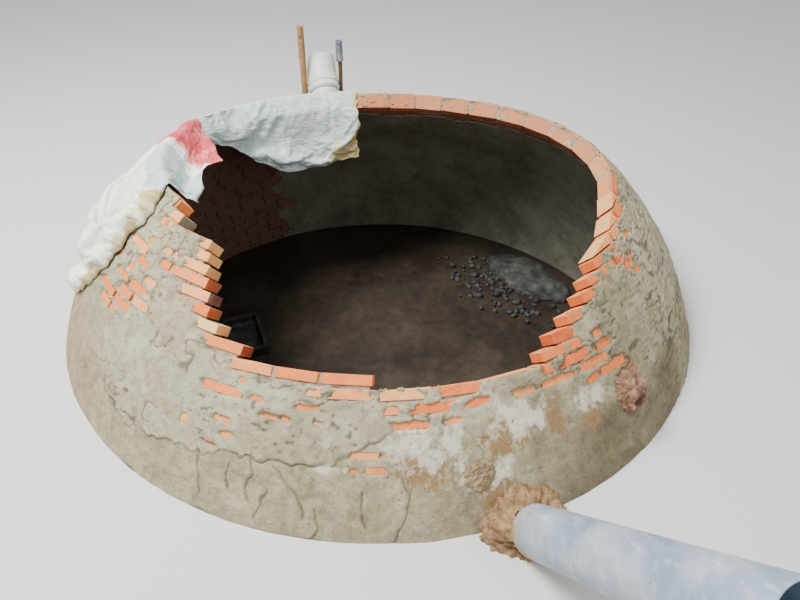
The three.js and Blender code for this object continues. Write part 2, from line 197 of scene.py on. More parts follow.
@dataclass(frozen=True)
class DomeForm:
    """The outer face of the wall, its courses and its mouth, with the source's own sizes in metres."""

    radius: float = 1.865
    rise: float = 1.901
    centre: float = 0.013
    wall: float = 0.095
    oval_blend: float = 0.2     # height over which the round foot turns into the oval top
    oval_mean: float = -0.06
    oval_swing: float = -0.15
    course: float = 0.05
    mouth_low: float = 1.246
    slab: float = 0.08
    left_steps: tuple[float, ...] = (0.8, -22.8, -28.8, -32.1, -33.4, -35.3, -36.9, -38.6, -40.2)
    right_steps: tuple[float, ...] = (30, 33.4, 38, 43.2, 46.8, 51, 61, 68, 75.5)
    left_raise: Pairs = ((-118, -52), (-110, -57))

    @property
    def rim(self) -> int:
        """Course of the mouth's high side."""
        return len(self.left_steps)

    @property
    def crest(self) -> int:
        """Course of the highest place, on the left."""
        return self.rim + len(self.left_raise)

    def metres(self, azimuth: Array, course: Array) -> tuple[Array, Array]:
        """Distances along and up the wall."""
        return np.radians(azimuth) * REACH, course * self.course

    def normal(self, z: Array) -> tuple[Array, Array]:
        """Outward normal of the meridian, as radial and vertical parts.

        Args:
            z: heights in metres.

        Returns:
            Both parts, each an array like z.
        """
        radial = np.sqrt(np.maximum(1 - ((z - self.centre) / self.rise) ** 2, 1e-9)) / self.radius
        vertical = (z - self.centre) / self.rise**2
        length = np.hypot(radial, vertical)
        return radial / length, vertical / length

    def outer(self, azimuth: Array, z: Array) -> Array:
        """Radius of the outer face.

        Args:
            azimuth: in degrees.
            z: height in metres.

        Returns:
            The radius in metres.
        """
        h = z - GROUND
        soft = (h + self.oval_blend) ** 2 / (4 * self.oval_blend)
        ramp = np.where(h > self.oval_blend, h, np.where(h < -self.oval_blend, 0, soft))
        swing = self.oval_mean + self.oval_swing * np.cos(2 * np.radians(azimuth))
        meridian = self.radius * np.sqrt(np.maximum(1 - ((z - self.centre) / self.rise) ** 2, 1e-9))
        return meridian + ramp * swing

    @cached_property
    def levels(self) -> tuple[Array, Array]:
        """Courses and their heights, along the arc of the outer face.

        Returns:
            The courses and the heights that belong to them.
        """
        z = np.linspace(-0.05, 1.75, 7201)
        arc = np.concatenate([[0], np.cumsum(np.diff(z) / self.normal((z[1:] + z[:-1]) / 2)[0])])
        return (arc - np.interp(self.mouth_low, z, arc)) / self.course, z

    def height(self, course: Array) -> Array:
        """Height of a course's top on the outer face."""
        return np.interp(course, *self.levels)

    def course_at(self, z: float) -> float:
        """Course whose top is at a height."""
        return float(np.interp(z, self.levels[1], self.levels[0]))

    def points(self, azimuth: Array, course: Array, depth: Array) -> Array:
        """Places in the wall.

        Args:
            azimuth: in degrees.
            course: level on the outer face.
            depth: inwards from the outer face, in metres.

        Returns:
            An array with a row of x, y and z for each place.
        """
        z = self.height(course)
        radial, vertical = self.normal(z)
        return ring(azimuth, self.outer(azimuth, z) - depth * radial, z - depth * vertical)

    def place(self, azimuth: float, course: float, depth: float = 0.0) -> Vector:
        """One place in the wall, as a vector."""
        return Vector(self.points(np.array(azimuth), np.array(course), np.array(depth)).tolist())

    def axes(self, azimuth: float, course: float, depth: float = 0.0) -> Matrix:
        """The wall's own axes at a place: x along the course, y up the wall and z outwards.

        Args:
            azimuth: in degrees.
            course: level on the outer face.
            depth: inwards from the outer face, in metres.

        Returns:
            A matrix that moves a shape from the origin to the wall.
        """
        here = self.place(azimuth, course, depth)
        along = (self.place(azimuth + 0.05, course) - self.place(azimuth - 0.05, course)).normalized()
        up = (self.place(azimuth, course + 0.05) - self.place(azimuth, course - 0.05)).normalized()
        out = along.cross(up).normalized()
        turn = Matrix((along, out.cross(along), out)).transposed().to_4x4()
        return Matrix.Translation(here) @ turn

    def tops(self, azimuth: Array) -> Array:
        """Number of courses that stand above the low side of the mouth.

        Args:
            azimuth: in degrees.

        Returns:
            An array like azimuth.
        """
        az = wrapped(azimuth)
        count = np.zeros(az.shape)
        standing = np.ones(az.shape, bool)
        for left, right in zip(self.left_steps, self.right_steps):
            standing &= (az < left) | (az > right)
            count += standing
        for low, high in self.left_raise:
            count += (az > low) & (az < high)
        return count

    def stands(self, azimuth: Array, back: float) -> Array:
        """Number of courses that stand at an azimuth and the given degrees to both its sides."""
        return np.minimum(self.tops(azimuth - back), self.tops(azimuth + back))

    def spans(self, course: int) -> Pair:
        """Azimuths between which a course stands, going from the right step round the back.

        Args:
            course: its number, above the low side of the mouth.

        Returns:
            Its right and its left end, in degrees.
        """
        if course > self.rim:
            return self.left_raise[course - self.rim - 1]
        return self.right_steps[course - 1] - 360, self.left_steps[course - 1]


DOME = DomeForm()


# Bare places in the plaster


FAR = -9.0      # closeness to a spot where there is none near


@dataclass(frozen=True)
class Spot:
    """A place on the wall with its half length and half height in metres."""

    azimuth: float
    course: float
    along: float
    up: float = 0.020

    def mask(self, azimuth: Array, course: Array, corners: float = 2.0) -> Array:
        """Closeness to the middle of the spot: 1 there, 0 at its edge, and less beyond it.

        Args:
            azimuth: of each place.
            course: of each place.
            corners: 2 for an ellipse, and more for a shape nearer to a box.

        Returns:
            An array like azimuth.
        """
        du = np.abs(np.radians(azimuth - self.azimuth) * REACH / self.along)
        dv = np.abs((course - self.course) * DOME.course / self.up)
        return 1 - (du**corners + dv**corners) ** (1 / corners)


def nearest(spots: Iterable[Spot], azimuth: Array, course: Array, corners: float = 2.0) -> Array:
    """Closeness to the nearest of some spots.

    Args:
        spots: to look at.
        azimuth: of each place.
        course: of each place.
        corners: as for the mask of one spot.

    Returns:
        An array like azimuth, never below FAR.
    """
    edge = np.full(np.shape(azimuth), FAR)
    for spot in spots:
        edge = np.maximum(edge, spot.mask(azimuth, course, corners))
    return edge


# Bricks that show through the coat: azimuth, course and half length, with the half height that shows
BARE_BRICKS = (
    (-58.5, 6, 0.103, 0.018), (-53.5, 5, 0.058, 0.017), (-55.3, 7, 0.028, 0.016), (-48.0, 7, 0.059, 0.014),
    (-45.4, 6, 0.077, 0.021), (-62.5, 4, 0.038, 0.012), (-56.7, 3, 0.060, 0.014), (-55.6, 4, 0.033, 0.014),
    (-59.1, 1, 0.098, 0.018), (-52.6, 2, 0.062, 0.019), (-50.5, 3, 0.078, 0.020), (-48.3, 4, 0.049, 0.016),
    (-57.0, 0, 0.068, 0.021), (-52.4, 1, 0.083, 0.019), (-48.1, 2, 0.069, 0.021), (-54.6, 0, 0.040, 0.014),
    (-56.6, 9, 0.028, 0.012), (-54.2, 9, 0.026, 0.012),
    (-24.3, -1, 0.088, 0.018), (-18.3, -1, 0.034, 0.012), (-15.4, -2, 0.047, 0.010),
    (-12.9, -2, 0.033, 0.009),
    (-9.6, -1, 0.046, 0.009), (-7.8, -2, 0.019, 0.007), (-22.8, -3, 0.043, 0.014), (-21.5, -4, 0.029, 0.011),
    (-29.1, -4, 0.018, 0.017), (-23.8, -5, 0.037, 0.009), (-9.1, 0, 0.029, 0.014), (-21.4, 0, 0.017, 0.009),
    (-0.1, -4, 0.059, 0.012), (-2.0, -5, 0.016, 0.011), (1.0, -5, 0.044, 0.010), (6.6, -2, 0.082, 0.015),
    (13.1, -2, 0.040, 0.011), (-2.9, 0, 0.092, 0.022), (5.3, 0, 0.098, 0.030), (14.6, 0, 0.094, 0.030),
    (3.4, -1, 0.036, 0.018), (9.4, -1, 0.088, 0.019), (17.3, -1, 0.062, 0.014), (25.4, -1, 0.050, 0.016),
    (36.3, 0, 0.086, 0.023), (43.3, 0, 0.064, 0.021), (40.2, -1, 0.086, 0.021), (42.9, 1, 0.028, 0.017),
    (43.0, -2, 0.079, 0.021), (30.4, 0, 0.032, 0.020), (37.3, 1, 0.034, 0.022), (35.2, 2, 0.066, 0.023),
    (32.2, 1, 0.077, 0.024), (32.2, -1, 0.088, 0.014), (38.6, -2, 0.038, 0.016), (56.7, 5, 0.026, 0.019),
    (59.5, 4, 0.030, 0.020), (52.4, 5, 0.020, 0.014), (65.6, 6, 0.032, 0.018), (61.0, 3, 0.026, 0.017),
    (79.0, 1, 0.030, 0.012), (77.0, -4, 0.030, 0.012), (78.0, 5, 0.040, 0.014),
)
# Azimuth where the coat begins beside each racked end, at the middle of its course
LEFT_COAT = (
    (0.5, -24.0), (1.5, -30.6), (2.5, -33.0), (3.5, -36.0), (4.5, -41.0), (5.5, -43.5), (6.5, -44.0),
    (7.5, -42.5), (8.5, -43.0), (9.5, -56.0),
)
RIGHT_COAT = (
    (0.5, 31.5), (1.5, 38.0), (2.5, 41.5), (3.5, 46.5), (4.5, 49.5), (5.5, 54.0), (6.5, 65.0),
    (7.5, 73.0), (8.5, 84.0),
)
# Lower edge of the second coat
SEAM = (
    (-180, -5.0), (-110, -3.4), (-63, -2.5), (-54, -3.9), (-46, -6.3), (-39, -7.4), (-30, -6.3),
    (-25, -6.0), (-17.3, -5.4), (-14, -5.4),
    (-10.7, -5.4), (-9.1, -5.1), (-7.4, -5.1), (-4.7, -4.75), (-2.6, -4.4), (-1.2, -4.1), (0.2, -3.6),
    (2.0, -3.2), (3.3, -2.7), (5, -2.3), (20, -3.2), (40, -4.5), (60, -5.6), (90, -5.5), (180, -5.0),
)
# Deep marks below it, each from its foot upwards
GOUGES = (
    ((-8.4, -16.2), (-7.8, -16.7), (-6.7, -16.4), (-5.6, -17.2)),
    ((-9.6, -15.4), (-8.5, -14.6), (-7.5, -13.9)),
    ((-8.9, -8.7), (-8.1, -8.7), (-7.1, -10.3), (-5.8, -13.0)),
    ((-9.3, -0.2), (-7.0, -0.8)),
    ((-10.6, 3.0), (-8.2, 5.4), (-7.1, 5.5), (-6.0, 4.8)),
    ((-9.0, -23.6), (-6.2, -25.5)),
    ((-7.9, -19.8), (-6.4, -20.2)),
    ((-10.3, -6.8), (-8.4, -7.1)),
)
SALTS = (
    Spot(9, -3.9, 0.36, 0.17), Spot(23, -3.2, 0.26, 0.15), Spot(-6, -5.4, 0.20, 0.035),
    Spot(36, -3.6, 0.22, 0.10), Spot(17, -6.4, 0.24, 0.10),
)
STAINS = (
    Spot(17.5, -7.8, 0.13, 0.13), Spot(8, -5.4, 0.20, 0.13), Spot(20, -4.2, 0.20, 0.13),
    Spot(46, -3.2, 0.13, 0.09), Spot(29, -4.0, 0.09, 0.16), Spot(35, -5.0, 0.10, 0.10),
)
RUBBLE = Spot(60.5, 4.9, 0.20, 0.105)


@dataclass(frozen=True)
class CoatMap:
    """Where the plaster is bare, cracked, stained, dragged or damp."""

    joint_depth: float = 0.0125
    deepest: float = 0.0040
    crack_depth: float = 0.0034
    stone: float = 0.042        # size of a bit of the rubble
    brick_middle: float = 0.4   # courses from a brick's top to the middle of what shows of it
    fading: float = 4           # degrees over which the coat thins out beside the tips
    turn: float = 84            # azimuth to both sides, behind which only the rim is bare
    rim_bare: float = 8.15      # course from which it is
    broad: Unevenness = field(default_factory=lambda: Unevenness(11))
    fine: Unevenness = field(default_factory=lambda: Unevenness(12))

    def ragged(self, azimuth: Array, course: Array) -> Array:
        """Noise that breaks up the edge of a coat."""
        u, v = DOME.metres(azimuth, course)
        return 0.6 * self.broad.at(u, v, 0.035, 0.02) + 0.4 * self.fine.at(u, v, 0.012, 0.009)

    def bare(self, azimuth: Array, course: Array) -> Array:
        """1 where the bricks show and 0 under the coat."""
        return smooth(self.uncovered(azimuth, course), -0.06, 0.16)

    def uncovered(self, azimuth: Array, course: Array) -> Array:
        """Closeness to the middle of a bare place, below 0 under the coat.

        Args:
            azimuth: of each place, in degrees.
            course: of each place.

        Returns:
            An array like azimuth.
        """
        az = wrapped(azimuth)
        bricks = (Spot(middle, row - self.brick_middle, along, up) for middle, row, along, up in BARE_BRICKS)
        edge = nearest(bricks, az, course, 3.2)
        edge += 0.10 * smooth(az, 26, 32) * smooth(-az, -56, -50) + 0.08 * smooth(-az, 44, 47)
        row = np.floor(course) + 0.5
        above = (course + 0.02) / 0.5
        for tips, side, low, high in ((LEFT_COAT, 1, -60, 2), (RIGHT_COAT, -1, 26, 90)):
            bare = np.minimum(side * (az - table(tips, row)) / self.fading, above)
            edge = np.maximum(edge, np.where((az > low) & (az < high), bare, FAR))
        edge = np.maximum(edge, np.where(np.abs(az) > self.turn, (course - self.rim_bare) / 0.7, FAR))
        return edge + 0.5 * self.ragged(azimuth, course)

    def seam(self, azimuth: Array) -> Array:
        """Course of the lower edge of the second coat."""
        return table(SEAM, wrapped(azimuth))

    def above_seam(self, azimuth: Array, course: Array) -> Array:
        """Courses above the torn lower edge of the second coat.

        Args:
            azimuth: of each place, in degrees.
            course: of each place.

        Returns:
            An array like azimuth.
        """
        u, v = DOME.metres(azimuth, course)
        jag = 0.30 * self.broad.at(u, v, 0.07, 0.6) + 0.24 * self.fine.at(u, v, 0.022, 0.3)
        return course - self.seam(azimuth) + jag

    def dragged(self, azimuth: Array, course: Array) -> Array:
        """1 on the first coat, where the float was dragged down the wall."""
        return 1 - smooth(self.above_seam(azimuth, course), -0.25, 0.15)

    def cracks(self, azimuth: Array, course: Array) -> Array:
        """Tears along the courses, the open edge of the second coat, the gouges below it and a rim round the
        bare places; the coat's finish darkens them as painted shade.

        Args:
            azimuth: of each place, in degrees.
            course: of each place.

        Returns:
            An array like azimuth, 1 along the middle of each mark.
        """
        az = wrapped(azimuth)
        u, v = DOME.metres(azimuth, course)
        warp = 0.012 * self.fine.at(u, v, 0.022, 0.02)
        line = 1 - np.abs(self.broad.at(u + 9, v + warp, 0.085, 0.036)) / 0.17
        torn = smooth(self.broad.at(u + 3, v, 0.20, 0.12), 0.02, 0.35)
        pitted = smooth(self.fine.at(u + 6, v, 0.024, 0.013), 0.58, 0.80)
        pitted = pitted * smooth(self.broad.at(u + 1, v, 0.16, 0.10), -0.2, 0.3)
        flank = smooth(az, 44, 60)
        second = 1 - self.dragged(azimuth, course)
        cracks = smooth(line, 0.0, 0.8) * torn * (0.35 + 0.65 * second)
        cracks = np.maximum(cracks, pitted * np.maximum(second, flank))
        cracks = np.maximum(cracks, 0.8 * flank * smooth(self.fine.at(u + 8, v, 0.034, 0.011), 0.44, 0.70))
        above = self.above_seam(azimuth, course)
        broken = 0.25 + 0.75 * smooth(self.broad.at(u, 0 * v, 0.14, 1.0), -0.35, 0.25)
        front = smooth(az, -50, -40) * smooth(-az, -6, -2) * broken
        cracks = np.maximum(cracks, smooth(1 - np.abs(above + 0.10) / 0.12, 0, 0.8) * front)
        wander = 0.5 * self.fine.at(u, v, 0.05, 0.04)
        for mark in GOUGES:
            courses, azimuths = zip(*mark)
            off = np.abs(az + wander - np.interp(course, courses, azimuths)) / 0.21
            ends = np.maximum(courses[0] - course, course - courses[-1]) / 0.3
            cracks = np.maximum(cracks, smooth(1 - np.maximum(off, np.maximum(ends, 0)), 0, 0.7))
        edge = smooth(1 - np.abs(self.uncovered(azimuth, course) + 0.10) / 0.13, 0, 1)
        return np.maximum(cracks, 0.8 * edge * smooth(self.fine.at(u + 2, v, 0.05, 0.02), -0.5, 0.3))

    def depth(self, azimuth: Array, course: Array) -> Array:
        """Depth of the coat's surface below the outer face, in metres.

        Args:
            azimuth: of each place, in degrees.
            course: of each place.

        Returns:
            An array like azimuth.
        """
        az = wrapped(azimuth)
        u, v = DOME.metres(azimuth, course)
        broad, fine = self.broad, self.fine
        dragged = self.dragged(azimuth, course)
        flank = smooth(az, 46, 60)
        depth = 0.0030 * broad.at(u, v, 0.20, 0.15) + 0.0016 * broad.at(u + 5, v, 0.06, 0.05)
        depth += 0.0007 * fine.at(u, v, 0.016, 0.014)
        laps = 2.3 * broad.at(u + 0.02 * fine.at(u, v, 0.03, 0.03), v, 0.21, 0.13)
        depth += 0.0017 * (np.floor(laps) + smooth(laps - np.floor(laps), 0.0, 0.16)) * (1 - dragged)
        lean = u + 0.12 * v
        drag = 0.0007 * fine.at(lean, v, 0.034, 0.30) + 0.0012 * broad.at(lean + 3, v, 0.10, 0.45)
        depth += dragged * drag
        depth += flank * (0.0026 * broad.at(u + 2, v, 0.045, 0.03) + 0.0016 * fine.at(u + 4, v, 0.02, 0.014))
        above = self.above_seam(azimuth, course)
        lip = smooth(above, -0.16, 0.02) + 0.35 * smooth(above, 0.5, 0.1)
        front = smooth(az, -64, -46) * smooth(-az, -8, -2)
        depth += front * (0.0062 - 0.0056 * lip) - 0.0015
        depth = self.deepest - np.logaddexp(0, (self.deepest - 0.0014 - depth) / 0.0012) * 0.0012
        depth += self.crack_depth * self.cracks(azimuth, course)
        rubble = self.rubble(azimuth, course)
        border, chance = fine.stones(u, v, self.stone)
        depth += rubble * (0.003 - 0.006 * smooth(border, 0, 0.30) - 0.004 * chance)
        bare = self.bare(azimuth, course)
        joint = self.joint_depth + 0.0016 * fine.at(u, v, 0.02, 0.012)
        return depth * (1 - bare) + joint * bare

    def rubble(self, azimuth: Array, course: Array) -> Array:
        """1 where bits of brick and mortar were thrown on the wall."""
        heaped = RUBBLE.mask(azimuth, course) + 0.45 * self.ragged(azimuth, course)
        return smooth(heaped, 0.0, 0.3) * (wrapped(azimuth) > 50)

    def chips(self, azimuth: Array, course: Array) -> Array:
        """1 where one of the bits is brick."""
        border, chance = self.fine.stones(*DOME.metres(azimuth, course), self.stone)
        return self.rubble(azimuth, course) * smooth(chance, 0.64, 0.68) * smooth(border, 0.10, 0.18)

    def bloom(self, azimuth: Array, course: Array) -> Array:
        """Strength of the white salts."""
        return np.clip(nearest(SALTS, azimuth, course) * 1.2, 0, 1)

    def rust(self, azimuth: Array, course: Array) -> Array:
        """Strength of the brown stains."""
        edge = nearest(STAINS, azimuth, course)
        return np.clip(edge * 1.1 + 0.35 * self.ragged(azimuth, course) * (edge > -0.5), 0, 1)

    def shade(self, azimuth: Array, course: Array) -> Array:
        """Strength of the darker tone on the right: painted shade over the flank, and a darker, browner zone
        low on it.

        Args:
            azimuth: of each place, in degrees.
            course: of each place.

        Returns:
            An array like azimuth.
        """
        az = wrapped(azimuth)
        cloud = self.broad.at(*DOME.metres(azimuth, course), 0.25, 0.15)
        low = smooth(az + 4 * cloud, 20, 34) * smooth(1.5 * cloud - course, 4.0, 6.6)
        low = low * (1 - 0.55 * smooth(az, 50, 64))
        # Painted shade over the right flank, which is turned from the key light.
        side = 0.30 * smooth(az, 34, 46) * (1 - 0.6 * smooth(az, 54, 62))
        return np.maximum(low, side) * smooth(-az, -140, -90) * (1 + 0.3 * cloud)

    def clay(self, azimuth: Array, course: Array) -> Array:
        """Strength of the tan wash low on the left flank.

        Args:
            azimuth: of each place, in degrees.
            course: of each place.

        Returns:
            An array like azimuth.
        """
        az = wrapped(azimuth)
        cloud = 1.2 * self.broad.at(*DOME.metres(azimuth, course), 0.16, 0.5)
        wash = smooth(-self.above_seam(azimuth, course) + cloud, -0.4, 2.6)
        crisp = smooth(az, -104, -80)
        low = self.dragged(azimuth, course) * crisp + wash * (1 - crisp)
        return smooth(-az, 40, 62) * smooth(az, -170, -100) * low

    def damp(self, azimuth: Array, course: Array) -> Array:
        """Strength of the dampness at the foot."""
        rise = 0.3 * self.broad.at(*DOME.metres(azimuth, course), 0.12, 0.5)
        return 1 - smooth(course + rise, -10.9, -10.2)


COAT = CoatMap()


# Meshes and pieces


def finish_piece(
    name: str, mesh: Mesh, material: Material, slot: Slot, replaces: Sequence[str] = (), even: bool = True
) -> Piece:
    """Makes a piece of a finished mesh and ties it to the frame.

    Args:
        name: of the piece.
        mesh: already in its place.
        material: its finish.
        slot: the record's slot it stands for; not used.
        replaces: CAD nodes it is shown instead of.
        even: True for smooth shading.

    Returns:
        The new object.
    """
    mesh.name = name
    mesh.materials.append(material)
    mesh.polygons.foreach_set("use_smooth", [even] * len(mesh.polygons))
    piece = bpy.data.objects.new(name, mesh)
    bpy.context.scene.collection.objects.link(piece)
    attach(piece, BODY)
    if replaces:
        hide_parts(*replaces)
    LOG.info("%s: %d faces", name, len(mesh.polygons))
    return piece


def mesh_of(shape: Shape, place: Matrix | None = None) -> Mesh:
    """Turns a bmesh into a mesh, moved to its place if one is given, and frees it.

    Args:
        shape: to turn into a mesh.
        place: moves it, or None to leave it.

    Returns:
        The mesh.
    """
    if place is not None:
        bmesh.ops.transform(shape, matrix=place, verts=shape.verts[:])
    mesh = bpy.data.meshes.new("shape")
    shape.to_mesh(mesh)
    shape.free()
    return mesh


def points_of(mesh: Mesh) -> Array:
    """The places of a mesh's points, with a row for each.

    Args:
        mesh: to read.

    Returns:
        An array of x, y and z.
    """
    flat = np.empty(len(mesh.vertices) * 3)
    mesh.vertices.foreach_get("co", flat)
    return flat.reshape(-1, 3)


def lay_out(mesh: Mesh, places: Array, marks: dict[str, Array], name: str, plan: Array) -> None:
    """Moves a flat grid's points to their places and keeps its marks and its map.

    Args:
        mesh: the grid.
        places: a row for each point.
        marks: values to keep on the points, by name.
        name: of the map.
        plan: the map's own places in metres, a row for each point.
    """
    mesh.vertices.foreach_set("co", places.ravel())
    for mark, values in marks.items():
        layer = mesh.attributes.new(mark, "FLOAT", "POINT")
        layer.data.foreach_set("value", values.astype(np.float32))
    corners = np.empty(len(mesh.loops), int)
    mesh.loops.foreach_get("vertex_index", corners)
    mesh.uv_layers.new(name=name).data.foreach_set("uv", plan[corners].ravel())
    mesh.update()


def thicken(piece: Piece, thickness: float, hidden_back: bool = False) -> None:
    """Gives a sheet its thickness behind the face that points outwards.

    Args:
        piece: the sheet.
        thickness: in metres.
        hidden_back: True to build only its edges, where the wall hides its back.
    """
    solid = piece.modifiers.new("thickness", "SOLIDIFY")
    solid.thickness = thickness
    solid.offset = -1
    solid.use_even_offset = False
    solid.use_rim_only = hidden_back


def spun(outline: Pairs, steps: int, closed: bool = True) -> Shape:
    """Turns an outline about the Z axis.

    Args:
        outline: points as radius and height.
        steps: faces round the axis.
        closed: True if the outline's ends are joined.

    Returns:
        The turned shape, its faces pointing outwards.
    """
    shape = bmesh.new()
    points = [shape.verts.new((r, 0, z)) for r, z in outline]
    pairs = list(zip(points, points[1:])) + ([(points[-1], points[0])] if closed else [])
    edges = [shape.edges.new(pair) for pair in pairs]
    bmesh.ops.spin(
        shape, geom=points + edges, cent=(0, 0, 0), axis=(0, 0, 1), dvec=(0, 0, 0),
        angle=2 * math.pi, steps=steps, use_merge=True, use_duplicate=False,
    )
    bmesh.ops.remove_doubles(shape, verts=shape.verts[:], dist=1e-6)
    bmesh.ops.recalc_face_normals(shape, faces=shape.faces[:])
    return shape


def roughen(shape: Shape, size: float, amount: float, seed: float, octaves: int = 4) -> None:
    """Moves the vertices along their normals by fractal noise.

    Args:
        shape: to roughen.
        size: of the largest lumps, in metres.
        amount: of the movement, in metres.
        seed: shifts the noise.
        octaves: of detail.
    """
    shape.normal_update()
    shift = Vector((seed, seed * 0.7, -seed))
    moves = [
        vertex.normal * amount * noise.fractal(vertex.co / size + shift, 0.9, 2.1, octaves)
        for vertex in shape.verts
    ]
    for vertex, move in zip(shape.verts, moves):
        vertex.co += move


@dataclass
class WallSheet:
    """A grid laid on the wall, trimmed to what stands and moved to its place."""

    azimuths: Pair
    courses: Pair
    columns: int
    rows: int
    keep: Field
    outwards: bool = True

    def mesh(self, depth: Field, marks: dict[str, Field] | None = None) -> Mesh:
        """Builds the sheet.

        Args:
            depth: gives the depth below the outer face from azimuths and courses.
            marks: attributes to keep on the vertices, made in the same way.

        Returns:
            The mesh, with a map in metres along and up the wall.
        """
        shape = bmesh.new()
        bmesh.ops.create_grid(shape, x_segments=self.columns, y_segments=self.rows, size=0.5)
        centres = np.array([face.calc_center_median()[:2] for face in shape.faces])
        gone = ~self.keep(*self.spread(centres))
        faces = [face for face, out in zip(shape.faces[:], gone) if out]
        bmesh.ops.delete(shape, geom=faces, context="FACES")
        if not self.outwards:
            bmesh.ops.reverse_faces(shape, faces=shape.faces[:])
        for edge in shape.edges:
            edge.smooth = not edge.is_boundary
        mesh = mesh_of(shape)
        azimuth, course = self.spread(points_of(mesh)[:, :2])
        values = {name: mark(azimuth, course) for name, mark in (marks or {}).items()}
        plan = np.stack(DOME.metres(azimuth, course), axis=-1)
        lay_out(mesh, DOME.points(azimuth, course, depth(azimuth, course)), values, "wall", plan)
        return mesh

    def spread(self, flat: Array) -> tuple[Array, Array]:
        """Azimuths and courses of places on the flat grid."""
        (a0, a1), (c0, c1) = self.azimuths, self.courses
        return a0 + (flat[:, 0] + 0.5) * (a1 - a0), c0 + (flat[:, 1] + 0.5) * (c1 - c0)


# Shader groups


class Graph:
    """Adds and links the nodes of one material or group."""

    def __init__(self, tree: Tree) -> None:
        """Takes the tree that the nodes go into."""
        self.tree = tree

    def node(self, kind: str, values: dict | None = None, **settings: object) -> Node:
        """Adds a node.

        Args:
            kind: of node, without ShaderNode.
            values: by input name or number, each a value or another node's output.
            settings: of the node itself.

        Returns:
            The node.
        """
        made = self.tree.nodes.new(kind if kind.startswith("Node") else f"ShaderNode{kind}")
        for key, value in settings.items():
            setattr(made, key, value)
        self.feed(made, values or {})
        return made

    def link(self, value: Socket, socket: Socket) -> None:
        """Links an output to an input."""
        self.tree.links.new(value, socket)

    def feed(self, node: Node, values: dict) -> None:
        """Gives a node its inputs, by name or number, each a value or another node's output.

        Args:
            node: to feed.
            values: by the name or number of the input.
        """
        for key, value in values.items():
            if isinstance(value, Socket):
                self.link(value, node.inputs[key])
            else:
                node.inputs[key].default_value = value

    def math(self, operation: str, first: object, second: object = 0.5, clamp: bool = False) -> Socket:
        """A sum on one or two values."""
        return self.node("Math", {0: first, 1: second}, operation=operation, use_clamp=clamp).outputs[0]

    def times(self, first: object, second: object) -> Socket:
        """The product of two values."""
        return self.math("MULTIPLY", first, second)

    def plus(self, first: object, second: object, clamp: bool = False) -> Socket:
        """The sum of two values."""
        return self.math("ADD", first, second, clamp)

    def minus(self, first: object, second: object) -> Socket:
        """The difference of two values."""
        return self.math("SUBTRACT", first, second)

    def spread(
        self, value: object, low: float, high: float, to_low: float = 0.0, to_high: float = 1.0
    ) -> Socket:
        """Moves a value from one range to another and holds it there."""
        return self.node("MapRange", {0: value, 1: low, 2: high, 3: to_low, 4: to_high}).outputs[0]

    def mix(self, factor: object, first: object, second: object, blend: str = "MIX") -> Socket:
        """Mixes two colours."""
        made = self.node("Mix", {0: factor, 6: first, 7: second}, data_type="RGBA", blend_type=blend)
        return made.outputs[2]

    def noise(self, vector: object, scale: object, detail: float = 3.0, rough: float = 0.55) -> Socket:
        """A cloudy pattern."""
        values = {"Vector": vector, "Scale": scale, "Detail": detail, "Roughness": rough}
        return self.node("TexNoise", values).outputs["Fac"]

    def ramp(self, value: object, stops: Iterable[tuple[float, Colour]]) -> Socket:
        """A colour ramp.

        Args:
            value: place on the ramp, from 0 to 1.
            stops: places and their colours.

        Returns:
            The colour.
        """
        made = self.node("ValToRGB", {0: value})
        elements = made.color_ramp.elements
        for index, (place, colour) in enumerate(stops):
            element = elements[index] if index < 2 else elements.new(place)
            element.position, element.color = place, colour
        return made.outputs["Color"]

    def mark(self, name: str, share: float = 1.0) -> Socket:
        """A number kept on the piece, or a share of it."""
        value = self.node("Attribute", attribute_name=name, attribute_type="GEOMETRY").outputs["Fac"]
        return value if share == 1 else self.times(value, share)

    def stretched(self, vector: object, scale: Triple) -> Socket:
        """Coordinates scaled by a different number along each axis."""
        return self.node("Mapping", {"Vector": vector, "Scale": scale}, vector_type="POINT").outputs[0]


def new_group(name: str, inputs: dict[str, str], outputs: dict[str, str]) -> tuple[Tree, Graph, dict, dict]:
    """Starts a shader group.

    Args:
        name: of the group.
        inputs: kinds of socket by name.
        outputs: kinds of socket by name.

    Returns:
        The tree, its graph, its input sockets by name and its output sockets by name.
    """
    tree = bpy.data.node_groups.new(name, "ShaderNodeTree")
    for sockets, side in ((inputs, "INPUT"), (outputs, "OUTPUT")):
        for label, kind in sockets.items():
            tree.interface.new_socket(label, in_out=side, socket_type=f"NodeSocket{kind}")
    graph = Graph(tree)
    enter, leave = graph.node("NodeGroupInput"), graph.node("NodeGroupOutput")
    return tree, graph, enter.outputs, leave.inputs


